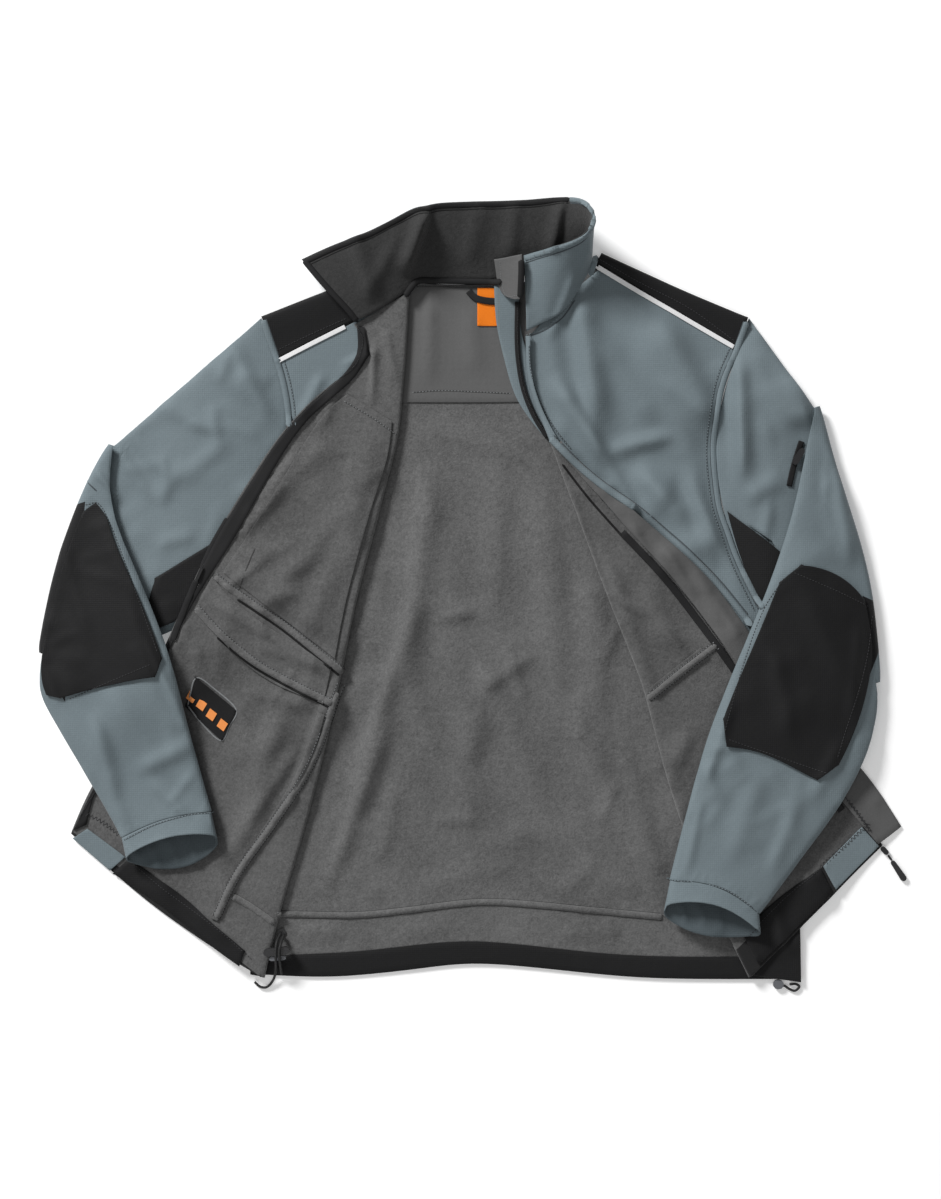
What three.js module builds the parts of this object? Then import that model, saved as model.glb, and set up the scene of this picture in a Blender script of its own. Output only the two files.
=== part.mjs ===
// Softshell work jacket laid open on its back, seen from straight above.
// Millimetres, +Z up, +Y towards the collar. Sides are the wearer's: right is at -X, left at +X.
import * as THREE from 'three';

const CLOTH = 2; // bonded shell and fleece
const HALF = CLOTH / 2;
const THIN = 1.4; // facings, pocket bags, tapes
const SEAM = 0.35; // between neighbours at a seam
const AIR = 0.5; // between layers
const CENTRE = { x: -2.5, y: -5 }; // moves the box's middle to the origin

const COLOUR = {
  shell: 0x6f7d82, black: 0x222324, fleece: 0x565759, lining: 0x6c6d6f, collar: 0x343536,
  orange: 0xf0801e, piping: 0xe8e8e6, plastic: 0x1c1d1e, disc: 0x8b8f92,
};

// Front panels, from neck to hem: side is the armhole and the side turn, fold is where the
// panel turns back on itself, edge is the zip edge.
const FRONT_RIGHT = [
  { side: [-198, 238], fold: [-61, 308], edge: [-119, 277] },
  { side: [-195, 224], fold: [-63, 273], edge: [-110, 261] },
  { side: [-191, 210], fold: [-65, 239], edge: [-119, 231] },
  { side: [-187, 195], fold: [-68, 208], edge: [-145, 215] },
  { side: [-185, 169], fold: [-72, 163], edge: [-192, 168] },
  { side: [-189, 129], fold: [-86, 108], edge: [-230, 110] },
  { side: [-205, 78], fold: [-100, 52], edge: [-262, 57] },
  { side: [-221, 29], fold: [-115, -4], edge: [-286, 6] },
  { side: [-230, -14], fold: [-128, -70], edge: [-308, -44] },
  { side: [-232, -106], fold: [-140, -126], edge: [-329, -87] },
  { side: [-231, -177], fold: [-156, -193], edge: [-353, -134] },
  { side: [-229, -254], fold: [-174, -259], edge: [-374, -172] },
  { side: [-227, -310], fold: [-191, -315], edge: [-393, -205] },
  { side: [-225, -387], fold: [-209, -390], edge: [-409, -243] },
];
const FRONT_LEFT = [
  { side: [273, 250], fold: [55, 265], edge: [61, 265] },
  { side: [265, 228], fold: [55, 241], edge: [61, 241] },
  { side: [257, 204], fold: [58, 215], edge: [64, 215] },
  { side: [250, 180], fold: [67, 188], edge: [74, 188] },
  { side: [248, 149], fold: [79, 159], edge: [90, 157] },
  { side: [251, 117], fold: [93, 120], edge: [122, 112] },
  { side: [256, 89], fold: [109, 78], edge: [150, 80] },
  { side: [267, 52], fold: [125, 34], edge: [178, 51] },
  { side: [278, 18], fold: [142, -11], edge: [201, 24] },
  { side: [298, -16], fold: [160, -55], edge: [226, -5] },
  { side: [314, -53], fold: [177, -100], edge: [250, -39] },
  { side: [326, -106], fold: [188, -145], edge: [273, -69] },
  { side: [329, -167], fold: [201, -193], edge: [299, -103] },
  { side: [332, -228], fold: [218, -244], edge: [328, -138] },
  { side: [335, -290], fold: [242, -302], edge: [356, -172] },
  { side: [337, -341], fold: [265, -354], edge: [387, -211] },
  { side: [338, -395], fold: [283, -390], edge: [422, -255] },
];
const NECK_PEAK = { at: 0.69, rise: 76, rows: 4.5 }; // left front's top edge climbs to the shoulder

// Shoulder yokes: pipe is the edge with the piping, turn the top fold of the shoulder.
const YOKE_RIGHT = [
  { pipe: [-198, 241.5], turn: [-214, 286] },
  { pipe: [-123, 279.5], turn: [-156, 309] },
  { pipe: [-67, 309], turn: [-87, 335] },
];
const YOKE_LEFT = [
  { pipe: [273, 252], turn: [284, 285] },
  { pipe: [223, 281.5], turn: [224, 310] },
  { pipe: [190, 301], turn: [173, 333] },
  { pipe: [126, 339], turn: [134, 351] },
];
const YOKE_RISE = 9; // height of the shoulder's top fold

const BACK = {
  top: [[-206, 277], [-156, 300], [-88, 325], [-53, 320], [-29, 319], [22, 319], [71, 323],
    [104, 332], [136, 338], [173, 322], [224, 299], [276, 276]],
  hem: [[-225, -387], [-145, -390], [-64, -383], [10, -376], [152, -389], [223, -392], [338, -392]],
  right: [[-206, 277], [-198, 239], [-185, 169], [-205, 78], [-230, 6], [-232, -106], [-229, -254],
    [-225, -387]],
  left: [[276, 276], [259, 212], [248, 149], [256, 89], [278, 18], [316, -53], [329, -167],
    [335, -290], [338, -392]],
};
const EDGE_IN = 2.5; // the back's sides stay this far inside the armholes and the side turns
// Soft folds of the back's cloth: middle line from a to b, half width and height.
const BACK_FOLDS = [
  { ax: -20, ay: 150, bx: -55, by: -300, wide: 30, high: 5 },
  { ax: 40, ay: 120, bx: 30, by: -250, wide: 34, high: 4 },
  { ax: 95, ay: 90, bx: 110, by: -220, wide: 26, high: 5 },
  { ax: -70, ay: 60, bx: -110, by: -160, wide: 22, high: 3 },
  { ax: 60, ay: -150, bx: 150, by: -290, wide: 24, high: 3 },
];

// Sleeves: the upper arm from armhole to elbow fold, then the forearm turned back over it.
const SLEEVE_RIGHT = {
  out: -1,
  armhole: [[-213, 285], [-205, 261], [-198, 239], [-192, 214], [-186, 183], [-189, 129],
    [-205, 78], [-230, 6]],
  elbow: [[-372, 156], [-393, 116], [-415, 60], [-428, 17], [-441, -44], [-443, -57]],
  low: [[-230, 6], [-312, -37], [-378, -55], [-443, -57]],
  forearm: [
    { inner: [-372, 156], outer: [-443, -57] },
    { inner: [-371, 112], outer: [-443, -80] },
    { inner: [-360, 72], outer: [-439, -102] },
    { inner: [-341, 30], outer: [-428, -123] },
    { inner: [-312, -40], outer: [-411, -151] },
    { inner: [-297, -90], outer: [-396, -176] },
    { inner: [-286, -137], outer: [-382, -200] },
    { inner: [-273, -185], outer: [-367, -226] },
    { inner: [-263, -219], outer: [-356, -246] },
  ],
  lip: { inner: [-258, -240], outer: [-353, -262] },
};
const SLEEVE_LEFT = {
  out: 1,
  armhole: [[284, 285], [273, 252], [259, 212], [250, 182], [248, 148], [251, 117], [256, 89],
    [274, 31], [293, -7], [316, -45]],
  elbow: [[359, 195], [375, 129], [395, 67], [405, 37], [411, 4], [416, -37], [421, -87]],
  low: [[316, -45], [360, -75], [390, -84], [421, -87]],
  forearm: [
    { inner: [359, 195], outer: [421, -87] },
    { inner: [347, 159], outer: [419, -108] },
    { inner: [335, 112], outer: [413, -132] },
    { inner: [322, 66], outer: [404, -160] },
    { inner: [304, 14], outer: [388, -194] },
    { inner: [280, -45], outer: [366, -229] },
    { inner: [257, -100], outer: [345, -256] },
    { inner: [237, -155], outer: [326, -282] },
    { inner: [219, -222], outer: [308, -305] },
    { inner: [202, -289], outer: [294, -323] },
  ],
  lip: { inner: [197, -312], outer: [296, -336] },
};
const ELBOW = { radius: 5.6, half: 2.6 }; // roll of the folded sleeve, and its half thickness
// Half thickness of a sleeve along its length, by fraction.
const UPPER_LOFT = [
  { at: 0, half: 2.5 }, { at: 0.25, half: 6 }, { at: 0.5, half: 6.5 }, { at: 0.8, half: 3.6 },
  { at: 1, half: 2.6 },
];
const FOREARM_LOFT = [
  { at: 0, half: 2.6 }, { at: 0.12, half: 4 }, { at: 0.4, half: 8 }, { at: 0.75, half: 8 },
  { at: 1, half: 9.5 },
];
const CUFF = { half: 11, slant: 15 }; // its open mouth, lower lip longer than the upper

// Collar stations from the wearer's right front end round the back to the left front end:
// seam is the neck seam, top the free edge, with heights.
const COLLAR = [
  { seam: [-118, 280, 13], top: [-172, 343, 13] },
  { seam: [-100, 288, 13], top: [-140, 357, 19] },
  { seam: [-80, 301, 12], top: [-110, 367, 26] },
  { seam: [-64, 312, 11], top: [-80, 381, 32] },
  { seam: [-50, 324, 8], top: [-58, 393, 31] },
  { seam: [-36, 324, 6], top: [-44, 396, 27] },
  { seam: [-22, 324, 6], top: [-29, 400, 22] },
  { seam: [22, 324, 6], top: [30, 402, 18] },
  { seam: [55, 327, 6], top: [60, 403, 20] },
  { seam: [84, 333, 7], top: [92, 405, 26] },
  { seam: [104, 341, 9], top: [112, 399, 50] },
  { seam: [119, 346, 12], top: [123, 385, 66] },
  { seam: [123, 340, 14], top: [121, 370, 70] },
  { seam: [114, 321, 14], top: [110, 359, 66] },
  { seam: [95, 290, 14], top: [85, 352, 48] },
  { seam: [74, 279, 14], top: [68, 349, 32] },
  { seam: [57, 270, 14], top: [55, 346, 22] },
];

// Small helpers.

const mix = (a, b, t) => a + (b - a) * t;
const mix2 = (p, q, t) => [mix(p[0], q[0], t), mix(p[1], q[1], t)];
const clamp = (t) => Math.min(1, Math.max(0, t));
const ease = (t) => clamp(t) ** 2 * (3 - 2 * clamp(t));
const range = (n) => Array.from({ length: n }, (_, i) => i);
const unit = ([x, y]) => [x / (Math.hypot(x, y) || 1), y / (Math.hypot(x, y) || 1)];

// Smooth curve through a list of points of any size, at t from 0 to 1.
function through(list, t) {
  const last = list.length - 1;
  const f = clamp(t) * last;
  const i = Math.min(last - 1, Math.floor(f));
  const [a, b, c, d] = [i - 1, i, i + 1, i + 2].map((k) => list[Math.min(last, Math.max(0, k))]);
  const u = f - i;
  return b.map((_, k) => 0.5 * (2 * b[k] + (c[k] - a[k]) * u
    + (2 * a[k] - 5 * b[k] + 4 * c[k] - d[k]) * u * u
    + (3 * b[k] - a[k] - 3 * c[k] + d[k]) * u ** 3));
}

// The same curve walked at even speed.
function evenly(list) {
  const steps = list.length * 12;
  const points = range(steps + 1).map((i) => through(list, i / steps));
  const far = [0];
  for (let i = 1; i <= steps; i++) {
    far.push(far[i - 1] + Math.hypot(...points[i].map((v, k) => v - points[i - 1][k])));
  }
  return (t) => {
    const want = clamp(t) * far[steps];
    const i = Math.max(1, far.findIndex((f) => f >= want - 1e-9));
    const u = (want - far[i - 1]) / (far[i] - far[i - 1] || 1);
    return points[i - 1].map((v, k) => mix(v, points[i][k], u));
  };
}

// A size from a table of { at, half } rows.
function sized(table, t) {
  const i = Math.max(1, table.findIndex((row) => row.at >= t - 1e-9));
  const [a, b] = [table[i - 1], table[i]];
  return mix(a.half, b.half, ease((t - a.at) / (b.at - a.at)));
}

function mesh(name, points, faces, colour) {
  const position = new Float32Array(points.flatMap(([x, y, z]) => [x + CENTRE.x, y + CENTRE.y, z]));
  const volume = faces.reduce((sum, [a, b, c]) => {
    const [p, q, r] = [points[a], points[b], points[c]];
    return sum + p[0] * (q[1] * r[2] - q[2] * r[1]) - p[1] * (q[0] * r[2] - q[2] * r[0])
      + p[2] * (q[0] * r[1] - q[1] * r[0]);
  }, 0);
  const geometry = new THREE.BufferGeometry();
  geometry.setAttribute('position', new THREE.BufferAttribute(position, 3));
  geometry.setIndex(faces.flatMap(([a, b, c]) => (volume > 0 ? [a, b, c] : [a, c, b])));
  geometry.computeVertexNormals();
  const made = new THREE.Mesh(geometry, new THREE.MeshStandardMaterial({ color: colour, roughness: 0.8 }));
  made.name = name;
  return made;
}

// Closed wall from a grid of { p, n }: p on the cloth's middle, n its offset to one face.
function wall(grid) {
  const [rows, cols] = [grid.length, grid[0].length];
  const points = [];
  [1, -1].forEach((s) => grid.forEach((row) => row.forEach(({ p, n }) => {
    points.push([p[0] + s * n[0], p[1] + s * n[1], p[2] + s * n[2]]);
  })));
  const at = (i, j, side) => side * rows * cols + i * cols + j;
  const faces = [];
  const four = (a, b, c, d) => faces.push([a, b, c], [a, c, d]);
  for (let i = 0; i < rows - 1; i++) {
    for (let j = 0; j < cols - 1; j++) {
      four(at(i, j, 0), at(i, j + 1, 0), at(i + 1, j + 1, 0), at(i + 1, j, 0));
      four(at(i, j, 1), at(i + 1, j, 1), at(i + 1, j + 1, 1), at(i, j + 1, 1));
    }
    four(at(i, 0, 0), at(i + 1, 0, 0), at(i + 1, 0, 1), at(i, 0, 1));
    four(at(i, cols - 1, 0), at(i, cols - 1, 1), at(i + 1, cols - 1, 1), at(i + 1, cols - 1, 0));
  }
  for (let j = 0; j < cols - 1; j++) {
    four(at(0, j, 0), at(0, j, 1), at(0, j + 1, 1), at(0, j + 1, 0));
    four(at(rows - 1, j, 0), at(rows - 1, j + 1, 0), at(rows - 1, j + 1, 1), at(rows - 1, j, 1));
  }
  return { points, faces };
}

// Closed open-ended tube from rings of { outer, inner } point lists.
function tube(rings) {
  const [rows, cols] = [rings.length, rings[0].outer.length];
  const points = [...rings.flatMap((r) => r.outer), ...rings.flatMap((r) => r.inner)];
  const at = (i, j, side) => side * rows * cols + i * cols + (j % cols);
  const faces = [];
  const four = (a, b, c, d) => faces.push([a, b, c], [a, c, d]);
  for (let j = 0; j < cols; j++) {
    for (let i = 0; i < rows - 1; i++) {
      four(at(i, j, 0), at(i + 1, j, 0), at(i + 1, j + 1, 0), at(i, j + 1, 0));
      four(at(i, j, 1), at(i, j + 1, 1), at(i + 1, j + 1, 1), at(i + 1, j, 1));
    }
    four(at(0, j, 0), at(0, j + 1, 0), at(0, j + 1, 1), at(0, j, 1));
    four(at(rows - 1, j, 0), at(rows - 1, j, 1), at(rows - 1, j + 1, 1), at(rows - 1, j + 1, 0));
  }
  return { points, faces };
}

// The pile: heights of what is already laid, on a square map.

const MAP = { cell: 3, x: -480, y: -440, nx: 320, ny: 300 };
const piled = new Map();

// Highest (side 1) or lowest (side -1) height of a solid's faces over each cell of the map.
function heights({ points, faces }, side) {
  const map = new Float32Array(MAP.nx * MAP.ny).fill(-side * Infinity);
  for (const face of faces) {
    const [a, b, c] = face.map((k) => points[k]);
    const area = (b[0] - a[0]) * (c[1] - a[1]) - (c[0] - a[0]) * (b[1] - a[1]);
    if (Math.abs(area) < 1e-6) continue;
    const span = (k, origin) => [a, b, c].map((p) => (p[k] - origin) / MAP.cell);
    const [xs, ys] = [span(0, MAP.x), span(1, MAP.y)];
    for (let j = Math.ceil(Math.min(...ys)); j <= Math.max(...ys); j++) {
      for (let i = Math.ceil(Math.min(...xs)); i <= Math.max(...xs); i++) {
        const [x, y] = [MAP.x + i * MAP.cell, MAP.y + j * MAP.cell];
        const u = ((x - a[0]) * (c[1] - a[1]) - (c[0] - a[0]) * (y - a[1])) / area;
        const v = ((b[0] - a[0]) * (y - a[1]) - (x - a[0]) * (b[1] - a[1])) / area;
        if (u < 0 || v < 0 || u + v > 1) continue;
        const z = a[2] + u * (b[2] - a[2]) + v * (c[2] - a[2]);
        const k = j * MAP.nx + i;
        if (side * z > side * map[k]) map[k] = z;
      }
    }
  }
  return map;
}

function topOf(names) {
  const map = new Float32Array(MAP.nx * MAP.ny);
  names.forEach((name) => piled.get(name).forEach((z, k) => { if (z > map[k]) map[k] = z; }));
  return map;
}

// Runs a window of cells over the map, along x and then y.
function window2(map, reach, join) {
  const pass = (from, step, across, count, other) => {
    const to = new Float32Array(from.length);
    for (let o = 0; o < other; o++) {
      for (let i = 0; i < count; i++) {
        const [lo, hi] = [Math.max(0, i - reach), Math.min(count - 1, i + reach)];
        let value = join.start;
        for (let k = lo; k <= hi; k++) value = join.add(value, from[o * across + k * step]);
        to[o * across + i * step] = join.end(value, hi - lo + 1);
      }
    }
    return to;
  };
  return pass(pass(map, 1, MAP.nx, MAP.nx, MAP.ny), MAP.nx, 1, MAP.ny, MAP.nx);
}
const WIDEST = { start: 0, add: Math.max, end: (v) => v };
const MEAN = { start: 0, add: (s, v) => s + v, end: (s, n) => s / n };

function sampled(map) {
  return (x, y) => {
    const [fx, fy] = [(x - MAP.x) / MAP.cell, (y - MAP.y) / MAP.cell];
    const [i, j] = [Math.floor(fx), Math.floor(fy)];
    const row = (k) => mix(map[k * MAP.nx + i], map[k * MAP.nx + i + 1], fx - i);
    return mix(row(j), row(j + 1), fy - j);
  };
}

// Height of a soft, stiffish sheet that rests on the named pieces and never dips into them.
function restOn(names, grain = 27, soft = 15) {
  const [wide, blur] = [grain + soft, soft].map((r) => Math.ceil(r / MAP.cell));
  const map = window2(window2(topOf(names), wide, WIDEST), Math.ceil(blur / 2), MEAN);
  return sampled(window2(map, Math.floor(blur / 2), MEAN));
}

const exactOn = (names) => sampled(window2(topOf(names), 1, WIDEST));

const pieces = [];
function keep(name, solid, colour) {
  pieces.push(mesh(name, solid.points, solid.faces, colour));
  piled.set(name, heights(solid, 1));
  return solid;
}

// Moves a solid up or down until its nearest point stands AIR above the named pieces.
function settle(solid, names, gap = 0.3) {
  const [under, below] = [topOf(names), heights(solid, -1)];
  let least = Infinity;
  below.forEach((z, k) => { if (under[k] > 0) least = Math.min(least, z - under[k]); });
  const move = Number.isFinite(least) ? gap - least : 0;
  solid.points.forEach((p) => { p[2] += move; });
  return solid;
}

// A flat piece between two edge lines, laid on other pieces: lines are lists of plan points.
// A soft one bridges the steps below it.
function laid(name, lineA, lineB, names, colour, { along = 8, across = 2, thick = THIN, soft = false } = {}) {
  const [a, b, on] = [evenly(lineA), evenly(lineB), soft ? restOn(names, 9, 9) : exactOn(names)];
  const grid = range(along + 1).map((i) => range(across + 1).map((j) => {
    const [x, y] = mix2(a(i / along), b(i / along), j / across);
    return { p: [x, y, on(x, y) + thick / 2], n: [0, 0, thick / 2] };
  }));
  return keep(name, settle(wall(grid), names), colour);
}

// A strip of one width along a line of plan points.
function strip(name, line, width, names, colour, options = {}) {
  const sides = [1, -1].map((s) => line.map((p, i) => {
    const [q, r] = [line[Math.max(0, i - 1)], line[Math.min(line.length - 1, i + 1)]];
    const [dx, dy] = unit([r[0] - q[0], r[1] - q[1]]);
    return [p[0] - s * dy * width / 2, p[1] + s * dx * width / 2];
  }));
  return laid(name, sides[0], sides[1], names, colour, { across: 1, ...options });
}

// Body: back, yokes and fronts.

function backHeight(x, y) {
  return BACK_FOLDS.reduce((sum, f) => {
    const [dx, dy] = [f.bx - f.ax, f.by - f.ay];
    const t = ((x - f.ax) * dx + (y - f.ay) * dy) / (dx * dx + dy * dy);
    const far = Math.hypot(x - f.ax - clamp(t) * dx, y - f.ay - clamp(t) * dy);
    const ridge = Math.max(0, 1.1 * Math.exp(-((far / f.wide) ** 2)) - 0.1);
    return sum + f.high * ridge * ease(1.2 - Math.abs(2 * clamp(t) - 1));
  }, 0);
}

function back() {
  const [top, hem, right, left] = [BACK.top, BACK.hem, BACK.right, BACK.left].map(evenly);
  const [rows, cols] = [20, 18];
  const grid = range(rows + 1).map((i) => range(cols + 1).map((j) => {
    const [v, u] = [i / rows, j / cols];
    const corner = [mix2(BACK.top[0], BACK.top.at(-1), u), mix2(BACK.hem[0], BACK.hem.at(-1), u)];
    const [x, y] = [0, 1].map((k) => mix(right(v)[k], left(v)[k], u) + mix(top(u)[k], hem(u)[k], v)
      - mix(corner[0][k], corner[1][k], v) + (k ? 0 : mix(EDGE_IN, -EDGE_IN, u)));
    return { p: [x, y, HALF + backHeight(x, y)], n: [0, 0, HALF] };
  }));
  keep('back_panel', wall(grid), COLOUR.fleece);
}

function backPieces() {
  laid('back_neck_lining', [[-62, 317], [-29, 316], [22, 316], [71, 320], [98, 328]],
    [[-150, 198], [-60, 198], [20, 198], [100, 200], [180, 206]], ['back_panel'], COLOUR.lining,
    { along: 12, across: 5 });
  laid('back_hem_facing', [[-209, -368], [-118, -364], [-64, -358], [10, -353], [152, -367], [269, -369],
    [332, -366]], [[-219, -386.5], [-145, -389.5], [-64, -382.5], [10, -375.5], [152, -388.5], [223, -391.5],
    [332, -391.5]],
  ['back_panel'], COLOUR.black, { along: 16, across: 1 });
  laid('neck_label', [[7, 315], [44, 315]], [[7, 276], [44, 276]], ['back_neck_lining'], COLOUR.orange,
    { along: 2, across: 2, thick: 1 });
  strip('hanger_loop', [[-2, 312], [4, 305], [14, 302], [25, 301], [36, 302], [46, 305], [52, 312]], 7,
    ['back_neck_lining', 'neck_label'], COLOUR.black, { along: 12, thick: 1.2 });
}

function yoke(name, table, names) {
  const rest = restOn(names);
  const [pipe, turn] = [evenly(table.map((r) => r.pipe)), evenly(table.map((r) => r.turn))];
  const [flat, curl, cols] = [3, 5, 9];
  const grid = range(cols + 1).map((i) => {
    const [a, b] = [pipe(i / cols), turn(i / cols)];
    const next = turn((i + 0.1) / cols), prev = turn((i - 0.1) / cols);
    const [tx, ty] = unit([next[0] - prev[0], next[1] - prev[1]]);
    const out = (b[0] - a[0]) * -ty + (b[1] - a[1]) * tx > 0 ? [-ty, tx] : [ty, -tx];
    const radius = (YOKE_RISE - 1) / 2;
    const start = [b[0] - out[0] * (radius + HALF), b[1] - out[1] * (radius + HALF)];
    const first = rest(a[0], a[1]) + HALF + AIR;
    return [
      ...range(flat + 1).map((k) => {
        const [x, y] = mix2(a, start, k / flat);
        return { p: [x, y, mix(first, YOKE_RISE, ease(k / flat))], n: [0, 0, HALF] };
      }),
      ...range(curl).map((k) => {
        const f = (k + 1) / curl * Math.PI;
        const n = [out[0] * Math.sin(f), out[1] * Math.sin(f), Math.cos(f)];
        return {
          p: [start[0] + n[0] * radius, start[1] + n[1] * radius, 1 + radius * (1 + n[2])],
          n: n.map((v) => v * HALF),
        };
      }),
    ];
  });
  keep(name, wall(grid), COLOUR.black);
}

// One front: the layer with its outer side up, the roll at the fold, and the part turned back.
function front(name, table, { under, beside, peak, bow = 0 }) {
  const [rows, lower, roll, upper] = [24, 6, 4, 8];
  const low = restOn(under);
  const column = (key) => (t) => through(table.map((r) => r[key]), t);
  const [side, fold, edge] = ['side', 'fold', 'edge'].map(column);
  const lift = (x, y) => low(x, y) + HALF + AIR;
  const start = (t) => {
    const [p, q] = [fold(t + 0.01), fold(t - 0.01)];
    const [tx, ty] = unit([p[0] - q[0], p[1] - q[1]]);
    const away = [fold(t)[0] - side(t)[0], fold(t)[1] - side(t)[1]];
    const out = away[0] * -ty + away[1] * tx > 0 ? [-ty, tx] : [ty, -tx];
    return { out, at: mix2(fold(t), [fold(t)[0] - out[0], fold(t)[1] - out[1]], 5) };
  };
  const lowRow = (t) => range(lower + 1).map((j) => {
    const u = j / lower;
    const [x, y0] = mix2(side(t), start(t).at, u);
    const climb = peak ? peak.rise * ease(1 - t * rows / peak.rows)
      * Math.max(0, 1 - Math.abs(u - peak.at) / (u < peak.at ? peak.at : 1 - peak.at)) : 0;
    return { p: [x, y0 + climb, lift(x, y0 + climb)], n: [0, 0, -HALF] };
  });
  const lowGrid = range(rows + 1).map((i) => lowRow(i / rows));
  piled.set(name + '_low', heights(wall(lowGrid), 1));
  const high = restOn([...under, ...beside, name + '_low']);
  const grid = lowGrid.map((row, i) => {
    const t = i / rows;
    const { out, at } = start(t);
    const base = row[lower].p[2];
    const top = Math.max(high(...at) + HALF + AIR, base + 6);
    const radius = (top - base) / 2;
    const turned = range(upper).map((j) => {
      const v = (j + 1) / upper;
      const sag = bow * Math.sin(v * Math.PI) * ease((t - 0.85) / 0.15);
      const [x0, y0] = mix2(at, edge(t), v);
      const [x, y] = [x0 + sag * Math.sign(edge(t)[0]) * 0.6, y0 - sag * 0.8];
      const far = Math.hypot(x - at[0], y - at[1]);
      const rest = high(x, y) + HALF + AIR;
      const stand = (top - high(...at) - HALF - AIR) * Math.exp(-((far / 30) ** 2));
      return { p: [x, y, rest + stand], n: [0, 0, HALF] };
    });
    const bend = range(roll).map((k) => {
      const f = (k + 1) / roll * Math.PI;
      const n = [out[0] * Math.sin(f), out[1] * Math.sin(f), -Math.cos(f)];
      return {
        p: [at[0] + n[0] * radius, at[1] + n[1] * radius, base + radius * (1 + n[2])],
        n: n.map((v) => v * HALF),
      };
    });
    return [...row, ...bend, ...turned];
  });
  keep(name, wall(grid), COLOUR.fleece);
}

// Sleeves.

const RING = 20;
// One ring of a flattened tube: place(w) gives the middle point and the side normal at the
// fraction w of the width, half its half thickness.
function ring(place, half, width, slant = [0, 0]) {
  const at = (inset) => range(RING).map((k) => {
    const angle = (k / RING) * 2 * Math.PI;
    const w = 0.5 - Math.cos(angle) * (0.5 - inset / width);
    const v = Math.sign(Math.sin(angle)) * Math.abs(Math.sin(angle)) ** 0.55;
    const { p, n } = place(w);
    const long = (1 + v) / 2;
    return p.map((c, i) => c + n[i] * v * (half - inset) + (slant[i] ?? 0) * long);
  });
  return { outer: at(0), inner: at(CLOTH * 0.95) };
}

function sleeve(side, plan) {
  const [arm, elbow, low] = [plan.armhole, plan.elbow, plan.low].map(evenly);
  const rows = 8;
  const outward = unit([plan.out, 0.3]);
  const reach = ELBOW.radius + ELBOW.half;
  const elbowIn = (w) => elbow(w).map((c, k) => c - outward[k] * reach);
  const upper = range(rows + 1).map((i) => {
    const s = i / rows;
    const half = sized(UPPER_LOFT, s);
    const sag = low(s).map((c, k) => c - mix2(arm(1), elbow(1), s)[k]);
    const gap = i ? 0 : SEAM * 3;
    return ring((w) => {
      const [x, y] = mix2(arm(w), elbowIn(w), s);
      return { p: [x + sag[0] * w + plan.out * gap, y + sag[1] * w, half], n: [0, 0, 1] };
    }, half, 200);
  });
  const bend = [1, 2, 3, 4, 5].map((k) => {
    const f = (k / 6) * Math.PI;
    const away = [outward[0] * Math.sin(f), outward[1] * Math.sin(f), -Math.cos(f)];
    return ring((w) => ({
      p: [...elbowIn(w), ELBOW.half + ELBOW.radius].map((c, i) => c + away[i] * ELBOW.radius),
      n: away.map((c) => -c),
    }), ELBOW.half, 200);
  });
  piled.set(`${side}_upper_arm`, heights(tube(upper), 1));
  return { upper, bend, elbowIn };
}

function forearm(side, plan, made, under) {
  const rest = restOn([...under, `${side}_upper_arm`], 24, 15);
  const [inner, outer] = ['inner', 'outer'].map((key) => (t) => through(plan.forearm.map((r) => r[key]), t));
  const rows = 13;
  const start = ELBOW.half + 2 * ELBOW.radius;
  const ringAt = (s, ends, half, slant) => {
    const [a, b] = ends;
    return ring((w) => {
      const keepFold = (1 - clamp(s * 3)) ** 2;
      const straight = mix2(a, b, w);
      const bow = made.elbowIn(w).map((c, k) => (c - mix2(inner(0), outer(0), w)[k]) * keepFold);
      const [x, y] = [straight[0] + bow[0], straight[1] + bow[1]];
      const lie = rest(x, y) + AIR + half;
      return { p: [x, y, mix(Math.max(start, lie * ease(s * 8)), lie, ease(s * 3))], n: [0, 0, -1] };
    }, half, Math.hypot(a[0] - b[0], a[1] - b[1]), slant);
  };
  const rings = range(rows + 1).map((i) => {
    const s = i / rows;
    return ringAt(s, [inner(s), outer(s)], sized(FOREARM_LOFT, s));
  });
  const sleeveSolid = tube([...made.upper, ...made.bend, ...rings]);
  keep(`${side}_sleeve`, sleeveSolid, COLOUR.shell);
  const steps = 3;
  const [a0, b0, a1, b1] = [inner(1), outer(1), plan.lip.inner, plan.lip.outer];
  const down = unit([a1[0] + b1[0] - a0[0] - b0[0], a1[1] + b1[1] - a0[1] - b0[1]]);
  const cuff = range(steps + 1).map((i) => {
    const t = i / steps;
    const gap = (1 - t) * SEAM;
    const ends = [mix2(a0, a1, t), mix2(b0, b1, t)].map(([x, y]) => [x + down[0] * gap, y + down[1] * gap]);
    const half = mix(sized(FOREARM_LOFT, 1), CUFF.half, t);
    return ringAt(1, ends, half, down.map((c) => c * CUFF.slant * t));
  });
  keep(`${side}_cuff`, tube(cuff), COLOUR.shell);
  return rings;
}

// Collar: an inner and an outer cloth on the same rising curve.

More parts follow.
